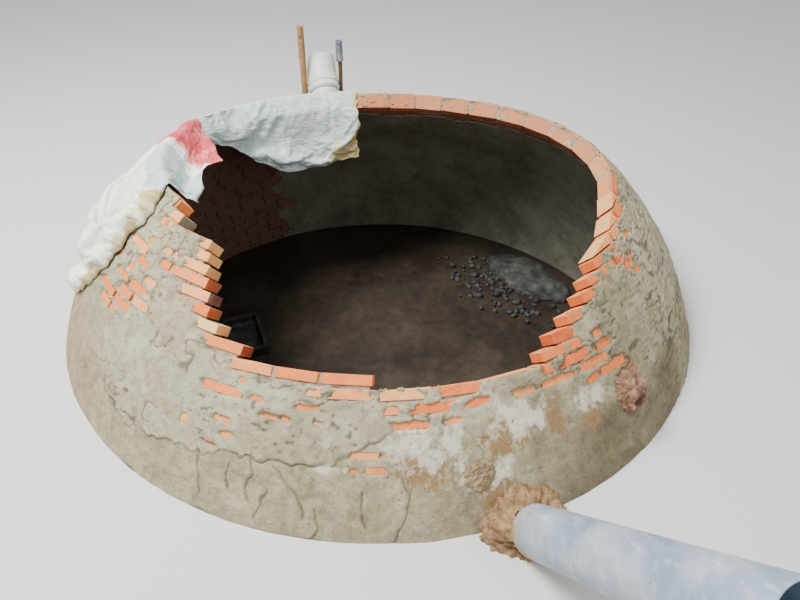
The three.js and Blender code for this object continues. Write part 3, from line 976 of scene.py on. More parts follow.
class Effects:
    """The patterns that several finishes share, each built once."""

    def __init__(self) -> None:
        """Builds the groups."""
        self.mottle = self.build_mottle()
        self.grain = self.build_grain()
        self.cover = self.build_cover()
        self.pits = self.build_pits()

    def build_mottle(self) -> Tree:
        """Clouds of three tones, large over small.

        Returns:
            The group.
        """
        tree, g, given, out = new_group(
            "mottle",
            {"Vector": "Vector", "Scale": "Float", "Light": "Color", "Middle": "Color", "Dark": "Color"},
            {"Color": "Color", "Value": "Float"},
        )
        large = g.noise(given["Vector"], given["Scale"], 4.0, 0.6)
        small = g.noise(given["Vector"], g.times(given["Scale"], 6.3), 3.0, 0.65)
        both = g.plus(g.times(large, 0.66), g.times(small, 0.34))
        lit = g.mix(g.spread(both, 0.50, 0.66), given["Middle"], given["Light"])
        g.link(g.mix(g.spread(both, 0.50, 0.36), lit, given["Dark"]), out["Color"])
        g.link(both, out["Value"])
        return tree

    def build_grain(self) -> Tree:
        """Sand grains and the pits between them.

        Returns:
            The group.
        """
        tree, g, given, out = new_group(
            "grain", {"Vector": "Vector", "Size": "Float"}, {"Height": "Float", "Pits": "Float"}
        )
        scale = g.math("DIVIDE", 1.0, given["Size"])
        sand = g.noise(given["Vector"], scale, 2.0, 0.7)
        cells = g.node("TexVoronoi", {"Vector": given["Vector"], "Scale": g.times(scale, 0.35)})
        holes = g.spread(cells.outputs["Distance"], 0.06, 0.22)
        g.link(g.plus(g.times(sand, 0.7), g.times(holes, 0.3)), out["Height"])
        g.link(g.minus(1.0, holes), out["Pits"])
        return tree

    def build_cover(self) -> Tree:
        """A stain or smear with a broken edge, laid over a colour.

        Returns:
            The group.
        """
        tree, g, given, out = new_group(
            "cover",
            {"Vector": "Vector", "Scale": "Float", "Base": "Color", "Cover": "Color", "Amount": "Float"},
            {"Color": "Color", "Mask": "Float"},
        )
        broken = g.noise(given["Vector"], given["Scale"], 5.0, 0.7)
        edge = g.plus(given["Amount"], g.times(g.minus(broken, 0.5), 1.6))
        mask = g.times(g.spread(edge, 0.38, 0.60), g.spread(given["Amount"], 0.0, 0.12))
        g.link(g.mix(mask, given["Base"], given["Cover"]), out["Color"])
        g.link(mask, out["Mask"])
        return tree

    def build_pits(self) -> Tree:
        """Scattered holes, one in a few cells.

        Returns:
            The group.
        """
        inputs = {"Vector": "Vector", "Scale": "Float", "Share": "Float"}
        tree, g, given, out = new_group("pits", inputs, {"Mask": "Float"})
        cells = g.node("TexVoronoi", {"Vector": given["Vector"], "Scale": given["Scale"]})
        pick = g.node("SeparateColor", {0: cells.outputs["Color"]}).outputs[0]
        hole = g.spread(cells.outputs["Distance"], 0.34, 0.16)
        g.link(g.times(hole, g.math("LESS_THAN", pick, given["Share"])), out["Mask"])
        return tree


EFFECTS = Effects()


class Surface(Graph):
    """The node tree of one finish."""

    def __init__(self, name: str) -> None:
        """Starts a material with its shader and coordinates.

        Args:
            name: of the material.
        """
        self.material = bpy.data.materials.new(name)
        self.material.use_nodes = True
        super().__init__(self.material.node_tree)
        self.shader = self.tree.nodes["Principled BSDF"]
        self.places = self.node("TexCoord").outputs["Object"]

    def map(self, name: str = "wall") -> Socket:
        """The piece's own map."""
        return self.node("UVMap", uv_map=name).outputs[0]

    def effect(self, tree: Tree, values: dict) -> Node:
        """Places a shared group."""
        return self.node("Group", values, node_tree=tree)

    def mottle(self, scale: float, light: Colour, middle: Colour, dark: Colour) -> Node:
        """Places the clouds of three tones."""
        values = {"Vector": self.places, "Scale": scale, "Light": light, "Middle": middle, "Dark": dark}
        return self.effect(EFFECTS.mottle, values)

    def cover(self, base: object, over: object, amount: object, scale: float, vector: object = None) -> Node:
        """Places a stain or smear over a colour, in the piece's own places if none are given."""
        values = {"Vector": vector or self.places, "Scale": scale, "Base": base, "Cover": over}
        return self.effect(EFFECTS.cover, {**values, "Amount": amount})

    def grain(self, size: float) -> Node:
        """Places the sand grains."""
        return self.effect(EFFECTS.grain, {"Vector": self.places, "Size": size})

    def pits(self, scale: float, share: float) -> Socket:
        """Places the scattered holes."""
        values = {"Vector": self.places, "Scale": scale, "Share": share}
        return self.effect(EFFECTS.pits, values).outputs["Mask"]

    def hairlines(self, vector: object, scale: float, share: float) -> Socket:
        """Thin broken lines, as the edge of a trowel and drying leave.

        Args:
            vector: coordinates.
            scale: of the lines' bends.
            share: from 0, everywhere, to 1, nowhere.

        Returns:
            1 on a line.
        """
        bends = self.noise(self.stretched(vector, (1.0, 1.9, 1.0)), scale, 1.0, 0.4)
        line = self.spread(self.math("ABSOLUTE", self.minus(bends, 0.5)), 0.009, 0.002)
        return self.times(line, self.spread(self.noise(self.places, 4.5, 3.0), share, share + 0.10))

    def blotched(self, colour: object, scale: float, low: float, high: float) -> Socket:
        """Lightens and darkens a colour in clouds.

        Args:
            colour: to change.
            scale: of the clouds.
            low: factor in the dark clouds.
            high: factor in the light ones.

        Returns:
            The changed colour.
        """
        cloud = self.noise(self.places, scale, 4.0, 0.65)
        shade = self.mix(self.spread(cloud, 0.33, 0.67), (low, low, low, 1), (high, high, high, 1))
        return self.mix(1.0, colour, shade, "MULTIPLY")

    def done(
        self, colour: object, rough: object, height: object = None, relief: float = 0.001, **shader: object
    ) -> Material:
        """Links the colour, roughness and relief to the shader.

        Args:
            colour: of the surface.
            rough: its roughness.
            height: pattern of the relief, from 0 to 1.
            relief: depth of the pattern in metres.
            shader: values of the shader's own sockets.

        Returns:
            The finished material.
        """
        self.feed(self.shader, {"Base Color": colour, "Roughness": rough})
        if height is not None:
            bump = self.node("Bump", {"Height": height, "Strength": 1.0, "Distance": relief})
            self.feed(self.shader, {"Normal": bump.outputs[0]})
        self.feed(self.shader, {key.replace("_", " "): value for key, value in shader.items()})
        return self.material


# Finishes


@dataclass(frozen=True)
class CoatFinish:
    """Cement and sand plaster on the outside of the dome."""

    light: Colour = tint(180, 175, 150)
    middle: Colour = tint(160, 155, 129)
    dark: Colour = tint(132, 126, 101)
    olive_light: Colour = tint(178, 170, 144)
    olive: Colour = tint(162, 153, 126)
    olive_dark: Colour = tint(136, 126, 100)
    shade: Colour = tint(104, 95, 75)
    joint: Colour = tint(150, 140, 119)
    salts: Colour = tint(206, 202, 184)
    rust: Colour = tint(138, 112, 78)
    clay: Colour = tint(166, 146, 118)
    # Painted shade in the coat's hairlines, pits and cracks.
    crevice_shade: Colour = tint(66, 60, 48)
    wet: Colour = tint(104, 94, 74)
    chip: Colour = tint(212, 120, 74)

    def material(self) -> Material:
        """Builds the finish.

        Returns:
            The material, which reads the marks of the coat.
        """
        s = Surface("coat")
        wall = s.map()
        upper = s.mottle(2.7, self.light, self.middle, self.dark).outputs["Color"]
        lower = s.mottle(3.6, self.olive_light, self.olive, self.olive_dark).outputs["Color"]
        dragged = s.mark("dragged")
        colour = s.mix(dragged, upper, lower)
        colour = s.mix(s.mark("clay", 0.75), colour, self.clay)
        colour = s.mix(s.mark("shade", 0.8), colour, self.shade)
        streaks = s.noise(s.stretched(wall, (26.0, 1.8, 1.0)), 1.0, 5.0, 0.6)
        faint = s.mix(s.spread(streaks, 0.34, 0.66), (0.90, 0.90, 0.89, 1), (1.05, 1.05, 1.05, 1))
        colour = s.mix(dragged, colour, s.mix(1.0, colour, faint, "MULTIPLY"))
        colour = s.blotched(colour, 13.0, 0.88, 1.09)
        colour = s.blotched(colour, 75.0, 0.86, 1.08)
        clouds = s.noise(s.places, 22.0, 7.0, 0.68)
        # Painted shade: the low parts of the relief's clouds are darkened, as in the plaster's hollows.
        hollow = s.mix(s.spread(clouds, 0.36, 0.54), (0.78, 0.77, 0.74, 1), (1.05, 1.05, 1.04, 1))
        colour = s.mix(0.9, colour, hollow, "MULTIPLY")
        hairs = s.hairlines(wall, 7.0, 0.58)
        # Painted shade along the hairlines.
        colour = s.mix(s.times(hairs, 0.30), colour, self.crevice_shade)
        drip = s.stretched(wall, (15.0, 5.5, 1.0))
        colour = s.cover(colour, self.rust, s.mark("rust", 0.8), 2.4, drip).outputs["Color"]
        flakes = s.stretched(wall, (9.0, 7.5, 1.0))
        salts = s.cover(colour, self.salts, s.mark("bloom", 0.62), 1.8, flakes)
        colour = s.mix(0.85, colour, salts.outputs["Color"])
        pits = s.pits(95.0, 0.035)
        # Painted shade in the pits.
        colour = s.mix(s.times(pits, 0.6), colour, self.crevice_shade)
        dusty = s.mottle(11.0, tint(190, 158, 130), self.joint, tint(116, 106, 90))
        colour = s.mix(s.spread(s.mark("bare"), 0.35, 0.85), colour, dusty.outputs["Color"])
        # Painted shade in the tears, the seam's open edge, the gouges and round the bare places.
        colour = s.mix(s.mark("crack_shade", 0.72), colour, self.crevice_shade)
        colour = s.mix(s.mark("chips", 0.85), colour, self.chip)
        damp = s.cover(colour, self.wet, s.mark("damp", 0.7), 5.0)
        rough = s.spread(damp.outputs["Mask"], 0.0, 1.0, 0.90, 0.66)
        grain = s.grain(0.0032)
        relief = s.plus(s.times(grain.outputs["Height"], 0.3), s.times(clouds, 0.9))
        relief = s.minus(relief, s.times(pits, 0.5))
        relief = s.minus(relief, s.times(hairs, 0.25))
        return s.done(damp.outputs["Color"], rough, relief, 0.009, Specular_IOR_Level=0.3)


@dataclass(frozen=True)
class BrickFinish:
    """Fired clay bricks, each with its own burn."""

    mortar: Colour = tint(172, 164, 145)
    # Painted shade, with some dampness, on the inner sides of the bricks below the rim.
    inner_shade_and_damp: Colour = tint(104, 86, 80)
    dust: Colour = tint(150, 102, 86)

    def material(self) -> Material:
        """Builds the finish.

        Returns:
            The material, which reads each face's burn, paler on the top faces as painted light, its smear and
            film of dust, and the painted shade and dampness on the bricks' inner sides.
        """
        s = Surface("fired_clay")
        cloud = s.noise(s.places, 20.0, 4.0, 0.65)
        burn = s.plus(s.mark("burn"), s.spread(cloud, 0.3, 0.7, -0.07, 0.07))
        colour = s.ramp(burn, (
            (0.0, tint(232, 194, 128)), (0.16, tint(236, 170, 112)), (0.36, tint(230, 134, 76)),
            (0.58, tint(216, 108, 50)), (0.74, tint(178, 78, 42)), (0.90, tint(120, 62, 58)),
            (1.0, tint(134, 136, 118)),
        ))
        colour = s.mix(s.mark("film", 0.75), colour, self.dust)
        colour = s.blotched(colour, 85.0, 0.84, 1.07)
        grain = s.grain(0.0030)
        colour = s.mix(s.times(grain.outputs["Pits"], 0.35), colour, tint(128, 66, 42))
        smeared = s.cover(colour, self.mortar, s.mark("smear"), 9.0)
        # Painted shade and dampness on the inner sides, deeper below the rim.
        colour = s.mix(s.mark("inner_shade_and_damp", 0.8), smeared.outputs["Color"], self.inner_shade_and_damp)
        streak = s.noise(s.stretched(s.places, (30.0, 30.0, 190.0)), 1.0, 2.0, 0.6)
        height = s.plus(s.times(grain.outputs["Height"], 0.6), s.times(streak, 0.4))
        return s.done(colour, 0.88, height, 0.0022, Specular_IOR_Level=0.25)


@dataclass(frozen=True)
class MortarFinish:
    """Mortar between the bricks, or a skim, a heap or a lump of it."""

    name: str
    light: Colour
    middle: Colour
    dark: Colour
    scale: float
    rough: float = 0.92
    size: float = 0.004
    relief: float = 0.004
    # Painted shade: a darker tone towards the bottom, down in the chamber.
    low_shade: Colour | None = None      # tone of its lower part

    def material(self) -> Material:
        """Builds the finish.

        Returns:
            The material.
        """
        s = Surface(self.name)
        base = s.mottle(self.scale, self.light, self.middle, self.dark)
        colour = base.outputs["Color"]
        if self.low_shade is not None:
            # Darker towards the bottom: painted shade of the chamber's depths.
            height = s.node("SeparateXYZ", {0: s.places}).outputs["Z"]
            colour = s.mix(s.spread(height, 1.45, 1.05), colour, self.low_shade)
        grain = s.grain(self.size)
        colour = s.mix(s.times(grain.outputs["Pits"], 0.35), colour, self.dark)
        relief = s.plus(s.times(grain.outputs["Height"], 0.6), s.times(base.outputs["Value"], 0.4))
        return s.done(colour, self.rough, relief, self.relief, Specular_IOR_Level=0.3)


@dataclass(frozen=True)
class PipeFinish:
    """Extruded plastic pipe with dust and dried splashes."""

    name: str
    clean: Colour
    dusty: Colour
    dirt: Colour
    pale: Colour = tint(206, 208, 206)
    rough: float = 0.42

    def material(self) -> Material:
        """Builds the finish.

        Returns:
            The material.
        """
        s = Surface(self.name)
        cloud = s.noise(s.places, 5.0, 5.0, 0.65)
        colour = s.mix(s.spread(cloud, 0.38, 0.62, 0.0, 0.9), self.clean, self.dusty)
        wiped = s.noise(s.stretched(s.places, (40.0, 9.0, 12.0)), 1.0, 5.0, 0.7)
        colour = s.mix(s.spread(wiped, 0.52, 0.66, 0.0, 0.40), colour, self.pale)
        colour = s.mix(s.spread(wiped, 0.44, 0.34, 0.0, 0.35), colour, self.clean)
        height = s.node("SeparateXYZ", {0: s.places}).outputs["Z"]
        low = s.spread(height, 1.15, 0.75, 0.05, 0.75)
        splashed = s.cover(colour, self.dirt, low, 14.0)
        scuffs = s.noise(s.places, 70.0, 3.0, 0.7)
        scuffed = s.spread(scuffs, 0.35, 0.7, self.rough - 0.06, self.rough + 0.16)
        rough = s.plus(scuffed, s.times(splashed.outputs["Mask"], 0.35), True)
        return s.done(splashed.outputs["Color"], rough, scuffs, 0.0004)


@dataclass(frozen=True)
class CaneFinish:
    """Bamboo or weathered wood, with its fibres upright."""

    name: str
    light: Colour
    dark: Colour
    rough: float = 0.6

    def material(self) -> Material:
        """Builds the finish.

        Returns:
            The material.
        """
        s = Surface(self.name)
        fibres = s.noise(s.stretched(s.places, (150.0, 150.0, 5.0)), 1.0, 4.0, 0.65)
        clouds = s.noise(s.places, 9.0, 4.0, 0.6)
        tone = s.plus(s.times(fibres, 0.55), s.times(clouds, 0.45))
        colour = s.mix(s.spread(tone, 0.36, 0.64), self.dark, self.light)
        return s.done(colour, self.rough, fibres, 0.0008)


@dataclass(frozen=True)
class SackFinish:
    """Woven plastic sacking, soiled by mortar, clay and rain."""

    cloth: Colour = tint(246, 245, 236)
    grey: Colour = tint(182, 202, 204)
    clay: Colour = tint(186, 172, 122)
    red: Colour = tint(204, 78, 84)

    def material(self) -> Material:
        """Builds the finish.

        Returns:
            The material, which reads the stains kept on the cloth.
        """
        s = Surface("sacking")
        cloth = s.map("cloth")
        warp = s.noise(s.stretched(cloth, (240.0, 6.0, 1.0)), 1.0, 2.0, 0.5)
        weft = s.noise(s.stretched(cloth, (6.0, 240.0, 1.0)), 1.0, 2.0, 0.5)
        weave = s.times(s.plus(warp, weft), 0.5)
        clouds = s.mottle(4.0, self.cloth, self.cloth, tint(224, 226, 220))
        colour = s.mix(s.spread(weave, 0.62, 0.38, 0.0, 0.35), clouds.outputs["Color"], self.grey)
        colour = s.cover(colour, self.grey, s.mark("grime"), 9.0).outputs["Color"]
        colour = s.cover(colour, self.clay, s.mark("clay"), 7.0).outputs["Color"]
        red = s.mottle(16.0, tint(226, 150, 150), self.red, tint(176, 62, 70)).outputs["Color"]
        blush = s.cover(colour, red, s.mark("blush"), 7.0)
        colour = s.blotched(blush.outputs["Color"], 40.0, 0.93, 1.04)
        crumple = s.noise(s.stretched(cloth, (9.0, 15.0, 1.0)), 1.0, 4.0, 0.62)
        sharp = s.math("ABSOLUTE", s.minus(crumple, 0.5))
        relief = s.plus(s.times(weave, 0.10), s.times(sharp, 1.4))
        return s.done(colour, 0.62, relief, 0.014, Specular_IOR_Level=0.4)


class Finishes:
    """Every material of the object, made once."""

    def __init__(self) -> None:
        """Builds the materials."""
        self.coat = CoatFinish().material()
        self.brick = BrickFinish().material()
        self.joints = MortarFinish(
            "joints", tint(172, 162, 142), tint(148, 138, 119), tint(114, 104, 88), 14.0,
            # Painted shade towards the bottom of the chamber.
            low_shade=tint(70, 60, 52),
        ).material()
        self.lining = MortarFinish(
            "lining", tint(146, 143, 130), tint(126, 123, 111), tint(102, 99, 88), 3.0, 0.7, 0.003, 0.0016
        ).material()
        # Painted shade: these tones are kept dark for the chamber's floor, over wet mud.
        self.shaded_screed = MortarFinish(
            "shaded_screed", tint(70, 60, 50), tint(53, 45, 38), tint(36, 30, 26), 2.4, 0.55, 0.006, 0.003
        ).material()
        self.heap = MortarFinish(
            "fresh_mortar", tint(84, 86, 85), tint(58, 60, 59), tint(34, 36, 35), 14.0, 0.6
        ).material()
        self.clay = MortarFinish(
            "clay_mud", tint(168, 142, 108), tint(132, 104, 72), tint(92, 70, 46), 16.0, 0.55, 0.006, 0.008
        ).material()
        self.lump = MortarFinish(
            "brown_lump", tint(168, 132, 110), tint(132, 100, 80), tint(88, 62, 48), 18.0, 0.8, 0.005, 0.006
        ).material()
        self.splat = MortarFinish(
            "clay_splat", tint(162, 144, 116), tint(138, 119, 92), tint(104, 88, 66), 12.0, 0.85, 0.005, 0.006
        ).material()
        self.pipe = PipeFinish(
            "grey_pipe", tint(120, 139, 162), tint(164, 176, 190), tint(158, 140, 112)
        ).material()
        self.pale_pipe = PipeFinish(
            "pale_pipe", tint(214, 218, 216), tint(188, 192, 188), tint(168, 140, 108)
        ).material()
        self.sleeve = PipeFinish(
            "sleeve", tint(72, 84, 96), tint(100, 108, 114), tint(110, 88, 66)
        ).material()
        self.bamboo = CaneFinish("bamboo", tint(178, 142, 96), tint(120, 88, 56)).material()
        self.wood = CaneFinish("wood", tint(108, 84, 62), tint(62, 46, 34), 0.8).material()
        self.sack = SackFinish().material()


# Brickwork


@dataclass(frozen=True)
class Brick:
    """One brick in the wall, with the burn of its outer face and of its ends."""

    azimuth: float
    course: int
    length: float
    burn: float
    end_burn: float
    smear: float
    film: float
    # darkening of its inner side: painted shade, with some dampness
    inner_shade_and_damp: float
    cut: float = 1.0        # share of the height left at its front end


# Burn of most bricks, from the palest at 0 to the most burnt at 1, by azimuth
WARMTH = (
    (-180, 0.44), (-90, 0.36), (-30, 0.36), (0, 0.30), (12, 0.40), (40, 0.46), (90, 0.44), (150, 0.46),
    (180, 0.44),
)
# Burn of the outer face and of the end of each left tip, by course
LEFT_TIPS = {
    2: (0.40, 0.86), 3: (0.02, 0.06), 4: (0.48, 0.64), 5: (0.20, 0.92), 6: (0.36, 0.66), 7: (0.22, 0.12),
    8: (0.26, 0.08), 9: (0.26, 0.10), 10: (0.24, 1.0), 11: (0.24, 0.26),
}


@dataclass
class BrickWork:
    """The ring courses of the dome, from the slab to the racked steps of the mouth."""

    finishes: Finishes
    length: float = 0.192
    height: float = 0.0405
    thick: float = 0.088
    joint: float = 0.018
    inset: float = 0.0075
    hidden: float = 0.008   # further in where the coat covers it
    worn: float = 0.0030
    first_joint: float = 1.5
    tip_width: float = 9.0  # degrees in which a brick counts as a left tip
    palest: float = 0.06
    hottest: float = 0.84
    smeared: float = 0.08   # share of the rim's bricks with mortar on them
    closers: tuple[int, ...] = (7, 8, 9)
    burn_scatter: float = 0.085
    proud_scatter: float = 0.0014
    tilt_scatter: float = 0.008     # in radians, in the wall's face
    turn_scatter: float = 0.012     # in radians, out of it
    height_scatter: float = 0.0008
    corner_scatter: float = 0.0011
    seed: int = 5
    split: int = -4         # last of the lower courses

    def build(self) -> None:
        """Builds the upper and the lower courses."""
        draw = random.Random(self.seed)
        low = math.floor(DOME.course_at(DOME.slab)) + 1
        bricks = [brick for course in range(low, DOME.crest + 1) for brick in self.lay(course, draw)]
        bricks += [self.closer(course, draw) for course in self.closers]
        self.piece("bricks_upper", [brick for brick in bricks if brick.course > self.split], draw)
        self.piece("bricks_lower", [brick for brick in bricks if brick.course <= self.split], draw)

    def radius(self, azimuth: float, course: int) -> float:
        """Radius of a course's outer side."""
        return float(DOME.outer(np.array(azimuth), DOME.height(np.array(course - 0.5)))) - self.inset

    def pitch(self, azimuth: float, course: int) -> float:
        """Degrees that one brick and its joint take up."""
        return math.degrees((self.length + self.joint) / self.radius(azimuth, course))

    def known(self, course: int, start: float, end: float) -> list[Pair]:
        """Bricks that show through the coat, as azimuths of their ends from the left tip round the back.

        Args:
            course: its number.
            start: azimuth of its left tip.
            end: azimuth of its other tip, below start.

        Returns:
            Both ends of each brick.
        """
        rows = sorted(
            (wrapped(azimuth) - (360 if azimuth > start else 0), max(along + 0.012, 0.045))
            for azimuth, row, along, _ in BARE_BRICKS if row == course
        )[::-1]
        spans = [[az + math.degrees(half / REACH), az - math.degrees(half / REACH)] for az, half in rows]
        for first, second in zip(spans, spans[1:]):
            if second[0] > first[1]:
                first[1] = second[0] = (second[0] + first[1]) / 2
        return [(float(a), float(b)) for a, b in spans if a < start - 0.4 and b > end + 0.4]

    def lay(self, course: int, draw: random.Random) -> list[Brick]:
        """Lays one course: whole bricks at its tips, the ones that show, and others between them.

        Args:
            course: its number.
            draw: random numbers.

        Returns:
            Its bricks.
        """
        if course <= 0:
            bond = self.pitch(0, course) / 2 if course % 2 else 0
            start = self.first_joint + bond + draw.uniform(-0.4, 0.4)
            end = start - 360
            placed = self.known(course, start, end)
        else:
            end, start = DOME.spans(course)
            tips = [(start, start - self.pitch(start, course)), (end + self.pitch(end, course), end)]
            placed = sorted(tips + self.known(course, tips[0][1], tips[1][0]), reverse=True)
        ends: list[Pair] = []
        edge = start
        for a, b in [*placed, (end, end)]:
            gap = edge - a
            if gap > 0.2 * self.pitch(a, course):
                count = max(1, math.ceil(gap / self.pitch(a, course) - 0.15))
                ends += [(edge - gap * i / count, edge - gap * (i + 1) / count) for i in range(count)]
            if a > b:
                ends.append((a, b))
            edge = b
        return [self.fire(course, (a + b) / 2, a - b, draw) for a, b in ends]

    def closer(self, course: int, draw: random.Random) -> Brick:
        """A brick cut to a wedge, which closes the step below a racked end on the right.

        Args:
            course: its number.
            draw: random numbers.

        Returns:
            The brick.
        """
        below, tip = DOME.right_steps[course - 2], DOME.right_steps[course - 1]
        wedge = self.fire(course, (below + tip) / 2 + 0.4, tip - below - 0.8, draw)
        return replace(wedge, burn=0.22, end_burn=0.3, smear=0.2, film=0.2, cut=0.12)

    def fire(self, course: int, azimuth: float, width: float, draw: random.Random) -> Brick:
        """Gives a brick its burn, smear, film, and the painted shade and dampness of its inner side.

        Args:
            course: its number.
            azimuth: of its middle.
            width: degrees from joint to joint.
            draw: random numbers.

        Returns:
            The brick.
        """
        az = float(wrapped(azimuth))
        length = math.radians(width) * self.radius(az, course) - self.joint
        burn = draw.gauss(float(table(WARMTH, az)), self.burn_scatter)
        burn = min(self.hottest, max(self.palest, burn))
        end_burn = min(self.hottest, burn + 0.03)
        if 0 < course <= DOME.rim + 1:
            tip = DOME.spans(course)[1]
            if tip - self.tip_width < az < tip:
                burn, end_burn = LEFT_TIPS.get(course, (burn, end_burn))
        top = float(DOME.tops(np.array(az)))
        smear = 0.10 * draw.random()
        if course >= top and abs(az) > COAT.turn and draw.random() < self.smeared:
            smear = 0.62
        film = 0.85 * float(smooth(np.array(abs(az)), 66, 100))
        # Inner sides darker the further the course is below the rim: painted shade of the chamber, with some
        # dampness.
        inner_shade_and_damp = min(1.0, max(0.0, (top - course - 0.6) / 3.0))
        return Brick(az, course, length, burn, end_burn, smear, film, inner_shade_and_damp)

    def shows(self, brick: Brick) -> bool:
        """True where the coat leaves some of the brick's face bare.

        Args:
            brick: to look at.

        Returns:
            Whether it shows.
        """
        reach = math.degrees(brick.length / 2 / REACH)
        along = np.linspace(-reach, reach, 9) + brick.azimuth
        azimuths, levels = np.meshgrid(along, brick.course - np.array((0.1, 0.4, 0.7)))
        return bool(COAT.bare(azimuths, levels).max() > 0.5)

    def piece(self, name: str, bricks: Sequence[Brick], draw: random.Random) -> None:
        """Makes one mesh of many bricks.

        Args:
            name: of the piece.
            bricks: to make.
            draw: random numbers.
        """
        shape = bmesh.new()
        marks = {name: shape.faces.layers.float.new(name) for name in ("burn", "smear", "film")}
        inner_shade_and_damp = shape.verts.layers.float.new("inner_shade_and_damp")
        for brick in bricks:
            level = brick.course - self.height / DOME.course / 2
            proud = draw.gauss(0, self.proud_scatter)
            back = 0.0 if self.shows(brick) else self.hidden
            place = DOME.axes(brick.azimuth, level, self.inset + (self.thick + back) / 2 - proud)
            slack = Matrix.Rotation(draw.gauss(0, self.tilt_scatter), 4, "Z")
            slack = slack @ Matrix.Rotation(draw.gauss(0, self.turn_scatter), 4, "Y")
            height = self.height + draw.gauss(0, self.height_scatter)
            size = Matrix.Diagonal((brick.length, height, self.thick - back, 1))
            made = bmesh.ops.create_cube(shape, size=1, matrix=place @ slack @ size)["verts"]
            along, up = place.col[0].xyz, place.col[1].xyz
            for face in {face for vertex in made for face in vertex.link_faces}:
                face.normal_update()
                end, top = abs(face.normal.dot(along)) > 0.8, face.normal.dot(up) > 0.8
                # Top faces take a paler burn: painted light on the tops.
                face[marks["burn"]] = brick.end_burn if end else brick.burn * (0.6 if top else 1)
                face[marks["smear"]] = brick.smear
                face[marks["film"]] = brick.film
            inside = sorted(made, key=lambda v: v.co.x**2 + v.co.y**2 + v.co.z**2)[:4]
            for vertex in made:
                local = place.inverted() @ vertex.co
                if local.x < 0 < local.y:
                    vertex.co -= up * self.height * (1 - brick.cut)
                vertex.co += Vector([draw.gauss(0, self.corner_scatter) for _ in range(3)])
                vertex[inner_shade_and_damp] = brick.inner_shade_and_damp if vertex in inside else 0.0
        bmesh.ops.bevel(
            shape, geom=shape.edges[:], offset=self.worn, offset_type="OFFSET", segments=1,
            profile=0.5, affect="EDGES", material=-1, clamp_overlap=True,
        )
        finish_piece(name, mesh_of(shape), self.finishes.brick, Slot.BRICK, even=False)


@dataclass
class JointFill:
    """The mortar between the bricks, a little behind their faces and their racked ends."""

    finishes: Finishes
    depth: float = 0.0145
    thick: float = 0.074
    back: float = 0.030
    below: float = 0.10     # courses by which it stays below the bricks' tops
    columns: int = 420
    rough: Unevenness = field(default_factory=lambda: Unevenness(21))

    def build(self) -> None:
        """Builds the fill, two rows of cells to a course, and closes it at the back."""
        top = DOME.crest
        rows = 2 * (top - math.floor(DOME.course_at(DOME.slab + 0.002)))
        courses = (top - rows / 2 - self.below, top - self.below)
        mesh = WallSheet((-180, 180), courses, self.columns, rows, self.keep).mesh(self.at_depth)
        shape = bmesh.new()
        shape.from_mesh(mesh)
        bmesh.ops.remove_doubles(shape, verts=shape.verts[:], dist=1e-5)
        shape.to_mesh(mesh)
        shape.free()
        thicken(finish_piece("joint_fill", mesh, self.finishes.joints, Slot.MORTAR), self.thick)

    def keep(self, azimuth: Array, course: Array) -> Array:
        """True where the wall stands, less the racked ends and what is under the slab."""
        stands = DOME.stands(azimuth, math.degrees(self.back / 1.3))
        return (course < stands) & (DOME.height(course) > DOME.slab)

    def at_depth(self, azimuth: Array, course: Array) -> Array:
        """Depth of the fill's outer side."""
        u, v = DOME.metres((azimuth + 360) % 360, course)
        return self.depth + 0.0016 * self.rough.at(u, v, 0.045, 0.03)


# Plaster


@dataclass
class OuterCoat:
    """The plaster on the outside, thin enough in places for the bricks to show."""

    finishes: Finishes
    thick: float = 0.012
    side: float = 95        # azimuth at which the front quarters meet the back
    fine: int = 9           # cells to a course
    back: float = 0.9       # degrees left bare at the racked ends

    def build(self) -> None:
        """Builds the front quarters, the back and the foot, which replace the CAD wall."""
        walls = [f"{tier}_wall_{n + 1:02d}" for tier in ("lower", "upper") for n in range(12)]
        top = DOME.crest
        rows = self.fine * round(top - DOME.course_at(GROUND - 0.015))
        low = top - rows / self.fine
        self.part("coat_left", (-self.side, 0), (low, top), 440, rows, walls)
        self.part("coat_right", (0, self.side), (low, top), 440, rows)
        self.part("coat_back", (self.side, 360 - self.side), (low, top), 300, rows // 2)
        self.part("coat_foot", (-180, 180), (DOME.course_at(0.005), low + 0.02), 240, 20)

    def part(
        self, name: str, azimuths: Pair, courses: Pair, columns: int, rows: int, replaces: Sequence[str] = ()
    ) -> None:
        """Builds one part of the coat.

        Args:
            name: of the piece.
            azimuths: from and to.
            courses: from and to.
            columns: cells along the wall.
            rows: cells up the wall.
            replaces: CAD nodes it stands for.
        """
        sheet = WallSheet(azimuths, courses, columns, rows, self.keep)
        marks = {
            "bare": COAT.bare, "dragged": COAT.dragged, "bloom": COAT.bloom, "rust": COAT.rust,
            "damp": COAT.damp, "crack_shade": COAT.cracks, "chips": COAT.chips, "clay": COAT.clay,
            "shade": COAT.shade,
        }
        piece = finish_piece(name, sheet.mesh(COAT.depth, marks), self.finishes.coat, Slot.PLASTER, replaces)
        thicken(piece, self.thick, hidden_back=True)

    def keep(self, azimuth: Array, course: Array) -> Array:
        """True where the wall stands, less a little at bare racked ends."""
        return course < DOME.stands(azimuth, self.back)


